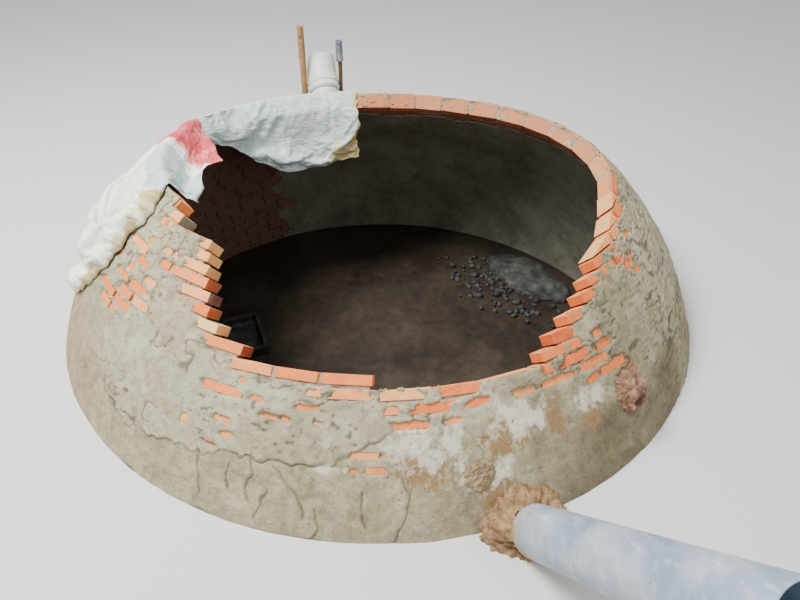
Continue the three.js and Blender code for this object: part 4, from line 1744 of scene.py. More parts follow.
@dataclass
class Lining:
    """The smooth plaster inside, on the right and the back, below the last courses."""

    finishes: Finishes
    azimuths: Pair = (-18, 218)
    proud: float = 0.006
    thick: float = 0.010
    below: float = 3.3      # courses above it that are left bare
    columns: int = 300
    rough: Unevenness = field(default_factory=lambda: Unevenness(31))

    def build(self) -> None:
        """Builds the lining."""
        low = DOME.course_at(DOME.slab + 0.008)
        rows = round((DOME.rim - low) * 2)
        sheet = WallSheet(self.azimuths, (low, DOME.rim), self.columns, rows, self.keep, outwards=False)
        piece = finish_piece("lining", sheet.mesh(self.at_depth), self.finishes.lining, Slot.PLASTER)
        thicken(piece, self.thick)

    def keep(self, azimuth: Array, course: Array) -> Array:
        """True below the ragged upper edge and inside the ragged left one.

        Args:
            azimuth: of each place, in degrees.
            course: of each place.

        Returns:
            An array like azimuth.
        """
        u, v = DOME.metres(azimuth, course)
        jag = self.rough.at(u, v * 0, 0.25, 1.0) * 0.9 + self.rough.at(u, v, 0.05, 0.03) * 0.3
        side = 4 * self.rough.at(v, u * 0, 0.10, 1.0)
        inside = (azimuth > self.azimuths[0] + 6 + side) & (azimuth < self.azimuths[1] - 8 + side)
        return (course < DOME.tops(azimuth) - self.below + jag) & inside

    def at_depth(self, azimuth: Array, course: Array) -> Array:
        """Depth of the lining's face.

        Args:
            azimuth: of each place, in degrees.
            course: of each place.

        Returns:
            An array like azimuth.
        """
        u, v = DOME.metres(azimuth, course)
        wave = 0.0022 * self.rough.at(u, v, 0.2, 0.14) + 0.0008 * self.rough.at(u, v, 0.05, 0.04)
        return DOME.wall + self.proud + wave


# Floor


def foot_of(node: str) -> tuple[Vector, float, float]:
    """Middle of a CAD node's underside, half its length along X and its height, from the frame.

    Args:
        node: its name.

    Returns:
        The three, in metres.
    """
    low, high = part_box(node)
    middle = Vector(((low[0] + high[0]) / 2, (low[1] + high[1]) / 2, low[2]))
    return middle, (high[0] - low[0]) / 2, high[2] - low[2]


@dataclass
class Floor:
    """The screed on the slab, the sump and the heap of mortar left at the foot of the wall."""

    finishes: Finishes
    rings: int = 40
    worn: float = 0.006     # of the slab's edges
    sump_size: Triple = (0.270, 0.390, 0.060)
    sump_wall: float = 0.030
    sump_depth: float = 0.052
    sump_turn: float = 0.38     # in radians
    heap_half: Triple = (0.375, 0.195, 0.112)
    heap_azimuth: float = 132
    heap_reach: float = 1.48

    def build(self) -> None:
        """Builds the floor's pieces."""
        self.shaded_screed()
        self.sump()
        self.heap()

    def shaded_screed(self) -> None:
        """A muddy disc that replaces the slab, dark enough to stand for the shade on the chamber's floor."""
        radius, top, worn = float(DOME.outer(np.array(0.0), np.array(DOME.slab))), DOME.slab, self.worn
        inner = radius - 0.05
        tread = [(0.0, top)] + [(inner * (i + 1) / self.rings, top) for i in range(self.rings)]
        edge = [(radius - worn, top), (radius, top - worn), (radius, worn), (radius - worn, 0.0)]
        shape = spun([*tread, *edge, (0.0, 0.0)], 120, closed=False)
        for vertex in shape.verts:
            if vertex.co.z > top - 1e-4 and vertex.co.xy.length < inner - 0.03:
                spot = Vector((vertex.co.x, vertex.co.y, 0))
                vertex.co.z += 0.010 * noise.fractal(spot / 0.35, 0.9, 2.1, 4) - 0.003
        finish_piece("shaded_screed", mesh_of(shape), self.finishes.shaded_screed, Slot.MORTAR, ["floor_slab"])

    def sump(self) -> None:
        """A rough curb with a dark hollow."""
        foot, _, _ = foot_of("sump_curb")
        shape = bmesh.new()
        bmesh.ops.create_cube(shape, size=1, matrix=Matrix.Diagonal((*self.sump_size, 1)))
        top = [face for face in shape.faces if face.normal.z > 0.9]
        bmesh.ops.inset_region(shape, faces=top, thickness=self.sump_wall, use_even_offset=True)
        well = [face for face in shape.faces if face.normal.z > 0.9 and face.calc_area() > 0.06][:1]
        made = bmesh.ops.extrude_face_region(shape, geom=well)["geom"]
        bmesh.ops.delete(shape, geom=well, context="FACES")
        bottom = [part for part in made if isinstance(part, bmesh.types.BMVert)]
        bmesh.ops.translate(shape, verts=bottom, vec=(0, 0, -self.sump_depth))
        bmesh.ops.subdivide_edges(shape, edges=shape.edges[:], cuts=7, use_grid_fill=True)
        roughen(shape, 0.05, 0.0035, 3.0)
        place = Matrix.Translation((foot.x, foot.y, DOME.slab + self.sump_size[2] / 2 + 0.0003))
        place = place @ Matrix.Rotation(self.sump_turn, 4, "Z")
        finish_piece("sump", mesh_of(shape, place), self.finishes.heap, Slot.BRICK, ["sump_curb"])

    def heap(self) -> None:
        """A slumped heap of mortar, cut off just under the floor."""
        shape = bmesh.new()
        bmesh.ops.create_icosphere(shape, subdivisions=5, radius=1)
        bmesh.ops.scale(shape, vec=self.heap_half, verts=shape.verts[:])
        roughen(shape, 0.16, 0.035, 8.0, 5)
        a = math.radians(self.heap_azimuth)
        foot = Vector((self.heap_reach * math.sin(a), -self.heap_reach * math.cos(a), DOME.slab))
        place = Matrix.Translation(foot) @ Matrix.Rotation(a, 4, "Z")
        bmesh.ops.transform(shape, matrix=place, verts=shape.verts[:])
        cut = bmesh.ops.bisect_plane(
            shape, geom=shape.verts[:] + shape.edges[:] + shape.faces[:],
            plane_co=(0, 0, DOME.slab - 0.004), plane_no=(0, 0, 1), clear_inner=True,
        )
        rim = [g for g in cut["geom_cut"] if isinstance(g, bmesh.types.BMEdge)]
        bmesh.ops.contextual_create(shape, geom=rim)
        finish_piece("heap", mesh_of(shape), self.finishes.heap, Slot.MORTAR, ["mortar_heap"])


# Loose mortar and clay


@dataclass
class Crumbs:
    """Bits of mortar squeezed out on the rim or dropped on the wall and the floor."""

    finishes: Finishes
    on_step: int = 9
    on_rim: int = 130
    on_floor: int = 170
    step_middle: Pair = (60, 5)     # azimuth and its scatter
    rim_span: Pair = (80, 190)
    floor_middle: Pair = (134, 11)  # azimuth and its scatter
    floor_reach: Pair = (1.30, 0.13)
    clear: float = 1.55             # radius beyond which a bit would lie in the wall
    seed: int = 17

    def build(self) -> None:
        """Builds the bits on the wall and those on the floor."""
        draw = random.Random(self.seed)
        wall = bmesh.new()
        for _ in range(self.on_step):
            azimuth = draw.gauss(*self.step_middle)
            step = float(np.interp(azimuth, DOME.right_steps, range(1, DOME.rim + 1)))
            spot = DOME.place(azimuth, step - draw.uniform(0.8, 3.0), 0.004)
            self.bit(wall, spot, draw.uniform(0.006, 0.016), draw)
        for _ in range(self.on_rim):
            azimuth = draw.uniform(*self.rim_span)
            spot = DOME.place(azimuth, DOME.rim - 0.05, draw.uniform(0.008, 0.085))
            self.bit(wall, spot, draw.uniform(0.003, 0.008), draw)
        finish_piece("rim_crumbs", mesh_of(wall), self.finishes.joints, Slot.MORTAR)
        floor = bmesh.new()
        for _ in range(self.on_floor):
            azimuth, reach = math.radians(draw.gauss(*self.floor_middle)), draw.gauss(*self.floor_reach)
            spot = Vector((reach * math.sin(azimuth), -reach * math.cos(azimuth), DOME.slab + 0.004))
            if reach < self.clear:
                self.bit(floor, spot, draw.uniform(0.008, 0.030), draw)
        finish_piece("floor_crumbs", mesh_of(floor), self.finishes.heap, Slot.MORTAR)

    def bit(self, shape: Shape, spot: Vector, size: float, draw: random.Random) -> None:
        """Adds one bit.

        Args:
            shape: to add it to.
            spot: its middle.
            size: its radius in metres.
            draw: random numbers.
        """
        angle = draw.uniform(0, 6.28)
        turn = Matrix.Rotation(angle, 4, Vector([draw.gauss(0, 1) for _ in range(3)]).normalized())
        form = Matrix.Diagonal((draw.uniform(0.8, 1.5), draw.uniform(0.7, 1.1), draw.uniform(0.5, 0.9), 1))
        place = Matrix.Translation(spot) @ turn @ form
        made = bmesh.ops.create_icosphere(shape, subdivisions=1, radius=size, matrix=place)
        for vertex in made["verts"]:
            vertex.co += Vector([draw.gauss(0, size * 0.09) for _ in range(3)])


@dataclass
class WallLump:
    """A lump of mortar stuck on the wall."""

    material: Material
    name: str
    azimuth: float
    height: float
    half: Triple
    seed: float
    notch: float = 0.0

    def build(self) -> None:
        """Builds the lump, with a notch in its lower side where it has one."""
        shape = bmesh.new()
        bmesh.ops.create_icosphere(shape, subdivisions=6, radius=1)
        for vertex in shape.verts:
            low = float(smooth(np.array(-vertex.co.y), -0.2, 0.8))
            cleft = math.exp(-((vertex.co.x / 0.28) ** 2)) * low * self.notch
            vertex.co.z *= 1 - 0.8 * cleft
            vertex.co.y *= 1 - 0.55 * cleft
            vertex.co.x *= 1 + 0.18 * vertex.co.y
        bmesh.ops.scale(shape, vec=self.half, verts=shape.verts[:])
        least = min(self.half)
        roughen(shape, least * 1.3, least * 0.42, self.seed, 3)
        roughen(shape, least * 0.45, least * 0.13, self.seed + 3)
        place = DOME.axes(self.azimuth, DOME.course_at(self.height), 0.004)
        finish_piece(f"{self.name}_clod", mesh_of(shape, place), self.material, Slot.MORTAR, [self.name])


# Pipes


@dataclass(frozen=True)
class Axis:
    """A pipe's axis: the point on the outer face of the wall and the rising direction."""

    at: Triple
    rise: Triple

    @property
    def matrix(self) -> Matrix:
        """Moves a shape that was turned about Z to the axis."""
        turn = Vector(self.rise).normalized().to_track_quat("Z", "Y").to_matrix().to_4x4()
        return Matrix.Translation(self.at) @ turn


INLET = Axis((0.598, -1.588, 0.777), (0.231, -0.626, 0.745))
OUTLET = Axis((-0.427, 1.564, 0.978), (-0.180, 0.642, 0.745))


@dataclass
class Pipes:
    """The inlet and outlet pipes, the socket on the outlet and the collars round both."""

    finishes: Finishes
    outer: float = 0.100
    bore: float = 0.095
    inside: float = 0.165   # length that reaches into the chamber, from the wall's outer face
    socket: float = 0.112
    rib: float = 0.118
    ribs: tuple[float, ...] = (0.372, 0.412)
    bell: Pair = (0.360, 0.620)
    mud: Pair = (-0.055, 0.128)

    def build(self) -> None:
        """Builds the pipes' pieces."""
        self.tube("inlet", INLET, 1.300, self.finishes.pipe, Slot.PIPE)
        self.tube("outlet", OUTLET, 0.470, self.finishes.pale_pipe, Slot.PIPE_LIGHT)
        self.socket_ring()
        self.collar("inlet", INLET, 0.190, 0.026, 2.0, self.finishes.clay)
        self.collar("outlet", OUTLET, 0.150, 0.014, 5.0, self.finishes.heap)

    def tube(self, name: str, axis: Axis, high: float, material: Material, slot: Slot) -> None:
        """Builds a straight pipe.

        Args:
            name: inlet or outlet.
            axis: of the pipe.
            high: distance of its outer end along the axis.
            material: its finish.
            slot: of the record.
        """
        low, edge = -self.inside, 0.0012
        steps = [low + edge + (high - low - 2 * edge) * i / 24 for i in range(25)]
        outside = [(self.outer, z) for z in steps]
        inside = [(self.bore, z) for z in reversed(steps)]
        outline = [
            (self.bore + edge, low), (self.outer - edge, low), *outside,
            (self.outer - edge, high), (self.bore + edge, high), *inside,
        ]
        mesh = mesh_of(spun(outline, 96), axis.matrix)
        finish_piece(f"{name}_tube", mesh, material, slot, [f"{name}_pipe"])

    def socket_ring(self) -> None:
        """Builds the outlet's socket with its two ribs."""
        low, high = self.bell
        inner, outer, rib = self.outer + 0.0004, self.socket, self.rib
        outline = [(inner, low), (outer - 0.003, low), (outer, low + 0.004)]
        for z in self.ribs:
            outline += [
                (outer, z), (rib - 0.0015, z + 0.002), (rib, z + 0.005), (rib, z + 0.013),
                (rib - 0.0015, z + 0.016), (outer, z + 0.018),
            ]
        outline += [(outer, 0.5), (outer, high - 0.004), (outer - 0.003, high)]
        outline += [(inner + 0.002, high), (inner, high - 0.002)]
        mesh = mesh_of(spun(outline, 96), OUTLET.matrix)
        finish_piece("outlet_bell", mesh, self.finishes.pale_pipe, Slot.PIPE_LIGHT, ["outlet_socket"])

    def collar(
        self, name: str, axis: Axis, width: float, amount: float, seed: float, material: Material
    ) -> None:
        """Builds a rough collar where a pipe leaves the wall.

        Args:
            name: inlet or outlet.
            axis: of the pipe.
            width: its outer radius at the wall.
            amount: height of its lumps.
            seed: shifts the noise.
            material: its finish.
        """
        low, high = self.mud
        span = [i / 30 for i in range(31)]
        hump = [(width * (1 - 0.06 * t) - (width - self.socket) * t**2.4, low + 0.18 * t) for t in span]
        shape = spun([(self.outer + 0.0005, low), *hump, (self.outer + 0.0005, high)], 150)
        skin = [v for v in shape.verts if v.co.xy.length > self.outer + 0.006]
        shift = Vector((seed, -seed, seed))
        for vertex in skin:
            out = Vector((vertex.co.x, vertex.co.y, vertex.co.z * 0.6)).normalized()
            lumps = noise.fractal(vertex.co / 0.085 + shift, 0.85, 2.2, 3)
            lumps += 0.6 * noise.fractal(vertex.co / 0.022 + shift, 0.75, 2.1, 4)
            vertex.co += out * amount * lumps
        finish_piece(f"{name}_mud", mesh_of(shape, axis.matrix), material, Slot.MORTAR, [f"{name}_collar"])


# Stakes


@dataclass
class Stakes:
    """The bamboo cane and the wooden pole beside the outlet, with the sleeve on the pole."""

    finishes: Finishes
    knots: tuple[float, ...] = (0.14, 0.42, 0.70, 0.98, 1.25, 1.51)
    cane_wall: float = 0.008
    hole: float = 0.085     # its distance below the cane's top

    def build(self) -> None:
        """Builds the stakes."""
        self.bamboo()
        self.pole()
        self.sleeve()

    def bamboo(self) -> None:
        """A hollow cane with its knots and a hole near the top."""
        foot, radius, height = foot_of("bamboo_stake")
        outside = []
        for i in range(200):
            z = height * i / 199
            near = min(abs(z - knot) for knot in self.knots)
            swollen = 0.0020 * math.exp(-((near / 0.006) ** 2))
            waist = 0.0008 * math.exp(-(((near - 0.014) / 0.006) ** 2))
            outside.append((radius - 0.0022 + swollen - waist, z))
        inner = radius - self.cane_wall
        outline = [(0.0, 0.0), *outside, (inner, height), (inner, height - 0.16), (0.0, height - 0.17)]
        shape = spun(outline, 32, closed=False)
        side = []
        for face in shape.faces:
            middle = face.calc_center_median()
            near = abs(middle.z - (height - self.hole)) < 0.014
            if near and face.normal.y < -0.9 and middle.xy.length > inner:
                side.append(face)
        bmesh.ops.inset_region(shape, faces=side, thickness=0.0012, depth=-0.005)
        mesh = mesh_of(shape, Matrix.Translation(foot))
        finish_piece("bamboo_cane", mesh, self.finishes.bamboo, Slot.BAMBOO, ["bamboo_stake"])

    def pole(self) -> None:
        """A barked pole, a little crooked."""
        foot, radius, height = foot_of("pole_stake")
        outside = [(radius - 0.001, height * i / 90) for i in range(91)]
        shape = spun([(0.0, 0.0), *outside, (0.0, height)], 28, closed=False)
        roughen(shape, 0.05, 0.0022, 4.0)
        for vertex in shape.verts:
            vertex.co.x += 0.0025 * math.sin(vertex.co.z * 5.1)
        mesh = mesh_of(shape, Matrix.Translation(foot))
        finish_piece("pole_shaft", mesh, self.finishes.wood, Slot.WOOD, ["pole_stake"])

    def sleeve(self) -> None:
        """A pipe end pushed over the pole."""
        foot, radius, height = foot_of("pole_head")
        r, top, lip = radius, height, 0.022
        outline = [
            (0.018, 0.0), (r - 0.002, 0.0), (r, 0.002), (r, lip), (r - 0.003, lip + 0.003),
            (r - 0.004, top * 0.6), (r - 0.004, top - 0.014), (r - 0.007, top - 0.004), (r - 0.012, top),
            (r - 0.016, top - 0.002), (r - 0.017, top - 0.012), (r - 0.017, top - 0.03),
            (0.0, top - 0.032), (0.0, 0.004),
        ]
        mesh = mesh_of(spun(outline, 48), Matrix.Translation(foot))
        finish_piece("pole_sleeve", mesh, self.finishes.sleeve, Slot.SLEEVE, ["pole_head"])


# Sacks


@dataclass
class DrapedSack:
    """A sheet of sacking that lies up the wall, over its top and down the inside."""

    finishes: Finishes
    name: str
    node: str
    rests_on: tuple[str, ...]
    flat: Pair
    span: Pair
    columns: int
    rows: int
    seed: int
    slack: float = 0.06     # share by which the cloth is longer than its resting place
    weight: float = 0.3     # share of gravity
    stiff: float = 1.2
    steps: int = 24
    thick: float = 0.0025

    def build(self) -> None:
        shape = bmesh.new()
        bmesh.ops.create_grid(shape, x_segments=self.columns, y_segments=self.rows, size=0.5)
        mesh = mesh_of(shape)
        points = points_of(mesh)
        across, up = points[:, 0] + 0.5, points[:, 1] + 0.5
        marks = {name: np.clip(mark, 0, 1) for name, mark in self.marks(across, up).items()}
        plan = np.stack([across * self.flat[0], up * self.flat[1]], axis=-1)
        lay_out(mesh, self.shape(across, up), marks, "cloth", plan)
        piece = finish_piece(self.name, mesh, self.finishes.sack, Slot.SACK, [self.node])
        group = piece.vertex_groups.new(name="held")
        group.add(np.flatnonzero(self.held(across, up)).tolist(), 1.0, "REPLACE")
        self.settle(piece)
        finer = piece.modifiers.new("finer", "SUBSURF")
        finer.levels = finer.render_levels = 1
        thicken(piece, self.thick)
        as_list(self.rests_on)

    def settle(self, piece: Piece) -> None:
        """Lets the cloth buckle and sag onto the wall by simulation and keeps the result.

        Args:
            piece: the sheet, held at the points of its group.
        """
        reach = (self.span[0] - 8, self.span[1] + 8)
        courses = (-8.0, float(DOME.crest))
        rows = round(2 * (courses[1] - courses[0]))
        wall = WallSheet(reach, courses, 150, rows, lambda az, course: course < DOME.tops(az))
        solid = bpy.data.objects.new("wall", wall.mesh(lambda az, course: 0 * az))
        bpy.context.scene.collection.objects.link(solid)
        thicken(solid, DOME.wall)
        solid.modifiers.new("collision", "COLLISION")
        solid.collision.thickness_outer = 0.004
        solid.collision.cloth_friction = 12
        cloth = piece.modifiers.new("cloth", "CLOTH")
        rules = cloth.settings
        rules.quality, rules.mass, rules.air_damping = 7, 0.25, 2.0
        rules.tension_stiffness = rules.compression_stiffness = 14
        rules.shear_stiffness, rules.bending_stiffness = 6, self.stiff
        rules.vertex_group_mass, rules.shrink_min = "held", -self.slack
        rules.effector_weights.gravity = self.weight
        cloth.collision_settings.distance_min = 0.005
        cloth.collision_settings.collision_quality = 3
        for step in range(1, self.steps + 1):
            bpy.context.scene.frame_set(step)
        places = points_of(piece.evaluated_get(bpy.context.evaluated_depsgraph_get()).data)
        piece.modifiers.remove(cloth)
        piece.data.vertices.foreach_set("co", places.ravel())
        piece.data.update()
        bpy.data.objects.remove(solid)
        bpy.context.scene.frame_set(1)

    def folds(self, across: Array, up: Array) -> tuple[Unevenness, Array, Array]:
        """Noise and distances on the cloth."""
        return Unevenness(self.seed), across * self.flat[0], up * self.flat[1]

    def shape(self, across: Array, up: Array) -> Array:
        """Places of the cloth's points."""
        raise NotImplementedError

    def marks(self, across: Array, up: Array) -> dict[str, Array]:
        """Stains on the cloth."""
        raise NotImplementedError

    def held(self, across: Array, up: Array) -> Array:
        """True for the points that the simulation leaves in place."""
        return (np.minimum(across, 1 - across) < 0.004) | (np.minimum(up, 1 - up) < 0.004)


@dataclass
class WallPath:
    """A path up the outside of the wall, over its top and down inside."""

    low: Array      # course at its foot
    top: Array      # course of the wall's top
    hang: Array     # its length inside, in metres
    droop: Pairs    # share of that length, and degrees below level

    @property
    def rise(self) -> Array:
        """Its length up the wall."""
        return (self.top - self.low) * DOME.course

    def run(self, along: Array) -> Array:
        """Length from the foot for a share of the whole path."""
        return along * (self.rise + DOME.wall + self.hang)

    def level(self, along: Array) -> Array:
        """Course reached, going on past the top as if the wall did."""
        return self.low + self.run(along) / DOME.course

    def points(self, azimuth: Array, along: Array, proud: Array) -> Array:
        """Places on the path.

        Args:
            azimuth: of each place.
            along: share of the path's length, from 0 at its foot to 1.
            proud: distance off the wall, in metres.

        Returns:
            An array with a row for each place.
        """
        run, rise = self.run(along), self.rise
        z = DOME.height(np.minimum(self.level(along), self.top))
        radial, vertical = DOME.normal(z)
        depth = np.clip(run - rise, 0, DOME.wall)
        share = np.clip(run - rise - DOME.wall, 0, None) / self.hang
        steps = np.linspace(0, 1, 129)
        angle = np.radians(table(self.droop, steps))
        inwards = np.interp(share, steps, np.append(0, np.cumsum(np.cos(angle[1:]))) / 128) * self.hang
        down = np.interp(share, steps, np.append(0, np.cumsum(np.sin(angle[1:]))) / 128) * self.hang
        tilt = np.interp(share, steps, angle)
        over = smooth(run - rise, -0.03, 0.03)[:, None]
        inside = smooth(run - rise - DOME.wall, -0.02, 0.03)[:, None]
        outside, across = np.stack([radial, vertical], -1), np.stack([-vertical, radial], -1)
        turn = outside * (1 - over) + across * over * (1 - inside)
        turn += np.stack([-np.sin(tilt), np.cos(tilt)], -1) * inside
        turn /= np.linalg.norm(turn, axis=1)[:, None]
        r = DOME.outer(azimuth, z) - depth * radial - inwards + proud * turn[:, 0]
        return ring(azimuth, r, z - depth * vertical - down + proud * turn[:, 1])


class FlankSack(DrapedSack):
    """The bunched sack on the left flank, with its inner edge standing out over the mouth."""

    # Distance off the wall in metres, and azimuth of the front edge, by course
    lift = (
        (-4.6, 0.06), (-3, 0.085), (-1.4, 0.060), (-0.2, 0.042), (1.4, 0.090), (3.5, 0.110), (8, 0.110),
        (10.3, 0.085), (11.3, 0.045), (12.4, 0.026), (13.4, 0.0),
    )
    front = (
        (-5, -72), (-2.9, -66.3), (2.0, -62.6), (5.2, -61.9), (8.5, -60.6), (10.2, -63.0), (11.2, -65.8),
        (12, -65.6), (12.9, -63.6), (13.6, -61.5),
    )
    # Length in metres that stands out over the mouth, by azimuth
    overhang = (
        (-105, 0.02), (-102.5, 0.07), (-98, 0.12), (-95.5, 0.165), (-89.5, 0.11), (-86, 0.10), (-73, 0.10),
        (-68.5, 0.07), (-63, 0.02),
    )
    droop = ((0.0, 0.0), (0.3, 6.0), (0.75, 14.0), (0.9, 40.0), (1.0, 80.0))
    first, width = -61.5, 43    # azimuth of the front edge at the mouth, and degrees to the back one
    foot = -4.6                 # course of its lower edge at the front
    back = -114                 # azimuth of its back edge below
    slant = (0.89, 0.46)        # direction of its creases across and up the cloth

    def path(self, across: Array) -> WallPath:
        """The path of each point's strip, from the foot to the inner edge.

        Args:
            across: from 0 at the front edge to 1 at the back one.

        Returns:
            The paths, as arrays like across.
        """
        over = table(self.overhang, self.first - self.width * across)
        low = self.foot + 5.4 * smooth(across, 0.08, 0.24) - 2.2 * smooth(across, 0.5, 1.0)
        return WallPath(low, float(DOME.crest) + 0 * across, over * 1.08 + 0.012, self.droop)

    def shape(self, across: Array, up: Array) -> Array:
        """Places of the cloth's points.

        Args:
            across: from 0 at the front edge to 1 at the back one.
            up: from 0 at the lower edge to 1 at the inner one.

        Returns:
            An array with a row for each point.
        """
        noise_of, u, v = self.folds(across, up)
        path = self.path(across)
        level = path.level(up)
        top = DOME.crest
        end = top + (DOME.wall + path.hang) / DOME.course
        front = table(self.front, level)
        front = front + 0.9 * noise_of.at(v, u * 0, 0.07, 1.0) + 0.5 * noise_of.at(v, u * 0 + 9, 0.025, 1.0)
        back = self.back + 7 * smooth(level, 6, top) + 2.5 * smooth((level - top) / (end - top), 0.0, 1.0)
        back = back + 1.5 * noise_of.at(v, u * 0 + 3, 0.10, 1.0) * smooth(10 - level, 0, 3)
        azimuth = front + (back - front) * across
        swell = (1 - np.exp(-across / 0.035)) * (1 - np.exp((across - 1) / 0.05)) * (1 - np.exp(-up / 0.03))
        lift = table(self.lift, level) * (1 - 0.5 * smooth(across, 0.35, 1.0))
        lean = u * self.slant[0] - v * self.slant[1]
        cross = u * self.slant[1] + v * self.slant[0]
        creases = 0.013 * noise_of.at(cross, lean, 0.095, 0.50)
        creases = creases + 0.005 * noise_of.at(cross + 3, lean, 0.045, 0.30)
        proud = 0.0068 + (lift + creases) * swell
        proud = np.where(level > top, np.maximum(proud, 0.018), proud)
        return path.points(azimuth, up, np.maximum(proud, 0.006))

    def marks(self, across: Array, up: Array) -> dict[str, Array]:
        """Stains: red at the inner back corner, clay along the front edge and grey on the flap.

        Args:
            across: from 0 to 1, as for the shape.
            up: from 0 to 1, as for the shape.

        Returns:
            The strength of each stain by name.
        """
        level = self.path(across).level(up)
        flap = smooth(level, 9.4, 11.0) * smooth(0.66 - across, 0, 0.10)
        olive = np.exp(-(((level - 9.6 - 6 * across) / 1.0) ** 2)) * smooth(0.16 - across, 0, 0.16)
        foot = np.exp(-(((level - 0.5) / 1.6) ** 2)) * smooth(0.3 - across, 0, 0.2)
        edge = smooth(0.07 - across, 0, 0.06) * smooth(11 - level, 0, 1)
        return {
            "grime": 0.82 * flap + 0.5 * foot,
            "clay": np.maximum(0.55 * edge, 0.8 * olive),
            "blush": 0.9 * smooth(across, 0.60 + 0 * level, 0.78) * smooth(level, 7.6, 10.4),
        }


class RimSack(DrapedSack):
    """The sack that hangs over the rim into the chamber."""

    rim = ((-126, 9.0), (-118.5, 10.0), (-110.5, 11.0), (-105, 11.0))   # its course, by azimuth
    droop = ((0.0, 0.0), (0.06, 40.0), (0.2, 82.0), (0.3, 90.0), (1.0, 90.0))
    close = 0.0065                  # metres off the wall at its edges
    first, width = -168.5, 65.0     # azimuth of its right edge, and degrees to the left one

    def shape(self, across: Array, up: Array) -> Array:
        """Places of the cloth's points.

        Args:
            across: from 0 at the right edge to 1 at the left one.
            up: from 0 on the outer edge of the rim to 1 at the lower edge.

        Returns:
            An array with a row for each point.
        """
        noise_of, u, v = self.folds(across, up)
        azimuth = self.first + across * self.width
        ragged = 1.3 * noise_of.at(v, u * 0, 0.06, 1.0) + 0.6 * noise_of.at(v, u * 0, 0.02, 1.0)
        azimuth = azimuth + ragged * smooth(0.3 - across, 0, 0.3)
        hang = 0.33 + 0.05 * smooth(across, 0.0, 0.34) - 0.31 * smooth(across, 0.40, 0.94)
        hang = hang + 0.010 * noise_of.at(u, v * 0, 0.04, 1.0)
        top = table(self.rim, azimuth)
        path = WallPath(top - 0.3, top, hang, self.droop)
        drop = smooth(up, 0.25, 0.8) * smooth(hang, 0.02, 0.2)
        waves = 0.017 * noise_of.at(u + 0.25 * v, v * 0, 0.11, 1.0)
        waves = waves + 0.011 * noise_of.at(u + 0.3 * v, v, 0.042, 0.35)
        proud = self.close + np.maximum(0.004 + waves, -0.001) * (0.2 + 0.8 * drop)
        return path.points(azimuth, up, np.where(across > 0.9, self.close, proud))

    def marks(self, across: Array, up: Array) -> dict[str, Array]:
        """Stains: clay at the lower right, grey elsewhere.

        Args:
            across: from 0 to 1, as for the shape.
            up: from 0 to 1, as for the shape.

        Returns:
            The strength of each stain by name.
        """
        clay = 0.80 * smooth(up, 0.35, 0.95) * smooth(0.42 - across, 0, 0.3)
        clay = clay + 0.5 * smooth(0.06 - across, 0, 0.05)
        return {"grime": 0.62 + 0 * up, "clay": clay, "blush": 0 * up}


# Stage, light and camera


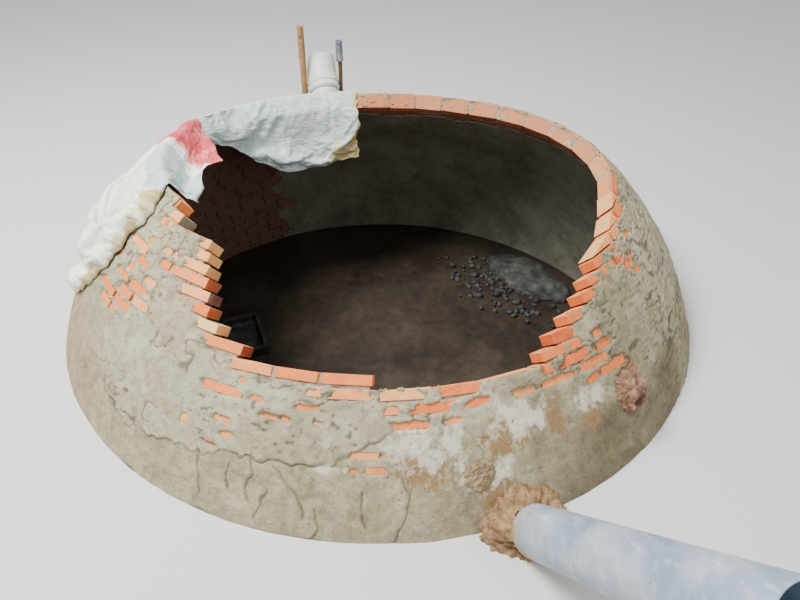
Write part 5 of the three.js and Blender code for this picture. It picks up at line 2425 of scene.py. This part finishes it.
@dataclass
class Stage:
    """The pale floor, which stands at the level of the ground outside, its light and the camera."""

    hole: float = 1.640     # inside the wall
    reach: float = 70.0
    place: Triple = (0.109, -2.932, 2.953)
    pitch: float = 0.670
    roll: float = 0.014
    lens: float = 27.9

    def build(self) -> None:
        """Builds the stage."""
        self.floor()
        self.sky()
        self.lamp("key", (-2.4, -0.9, 6.6), (0.0, -0.2, 0.9), 2.4, 900.0, (1.0, 0.975, 0.93))
        self.lamp("fill", (4.5, -4.4, 4.0), (0.0, 0.0, 0.8), 4.0, 80.0, (1.0, 0.99, 0.97))
        self.camera()

    def floor(self) -> None:
        """A flat ring with its hole inside the wall."""
        shape = spun([(r, GROUND) for r in (self.hole, 3.0, 8.0, self.reach)], 180, closed=False)
        if shape.faces[:][0].normal.z < 0:
            bmesh.ops.reverse_faces(shape, faces=shape.faces[:])
        mesh = mesh_of(shape)
        surface = Surface("studio_floor")
        mesh.materials.append(surface.done((0.60, 0.60, 0.59, 1), 0.9))
        floor = bpy.data.objects.new("studio_floor", mesh)
        bpy.context.scene.collection.objects.link(floor)

    def sky(self) -> None:
        """An even pale light from all round."""
        world = bpy.data.worlds.new("studio")
        bpy.context.scene.world = world
        world.use_nodes = True
        back = world.node_tree.nodes["Background"]
        back.inputs["Color"].default_value = (1.0, 0.985, 0.955, 1)
        back.inputs["Strength"].default_value = 0.86

    def lamp(
        self, name: str, place: Sequence[float], aim: Sequence[float], size: float, power: float,
        colour: Sequence[float],
    ) -> None:
        """Adds a soft square light.

        Args:
            name: of the light.
            place: where it is.
            aim: where it points.
            size: its side in metres.
            power: in watts.
            colour: of the light.
        """
        data = bpy.data.lights.new(name, "AREA")
        data.size, data.energy, data.color = size, power, colour
        lamp = bpy.data.objects.new(name, data)
        lamp.location = place
        lamp.rotation_euler = (Vector(aim) - Vector(place)).to_track_quat("-Z", "Y").to_euler()
        bpy.context.scene.collection.objects.link(lamp)

    def camera(self) -> None:
        """Puts the camera where the view is taken from."""
        data = bpy.data.cameras.new("camera")
        data.lens, data.sensor_width = self.lens, 36.0
        camera = bpy.data.objects.new("camera", data)
        level = Matrix.Rotation(math.pi / 2 - self.pitch, 4, "X") @ Matrix.Rotation(self.roll, 4, "Z")
        camera.matrix_world = Matrix.Translation(self.place) @ level
        bpy.context.scene.collection.objects.link(camera)
        bpy.context.scene.camera = camera


def main() -> None:
    """Builds the stage and every sub-assembly."""
    logging.basicConfig(level=logging.INFO, format="%(message)s")
    finishes = Finishes()
    assemblies = [
        FlankSack(
            finishes, "flank_cloth", "flank_sack", ("upper_wall_09", "upper_wall_10"), flat=(1.35, 1.0),
            span=(-118, -56), columns=110, rows=88, seed=41,
        ),
        RimSack(
            finishes, "rim_cloth", "rim_sack", ("upper_wall_07", "upper_wall_08"), flat=(1.0, 0.45),
            span=(-172, -104), columns=100, rows=56, seed=43, slack=0.05,
        ),
        Stage(),
        BrickWork(finishes),
        JointFill(finishes),
        OuterCoat(finishes),
        Lining(finishes),
        Floor(finishes),
        Crumbs(finishes),
        WallLump(finishes.lump, "side_lump", 44.3, 1.035, (0.088, 0.100, 0.044), 6.0, notch=1.0),
        WallLump(finishes.splat, "front_lump", 15.5, 0.986, (0.062, 0.062, 0.017), 9.0),
        Pipes(finishes),
        Stakes(finishes),
    ]
    for assembly in assemblies:
        LOG.info("building %s", type(assembly).__name__)
        assembly.build()


if __name__ == "__main__":
    main()
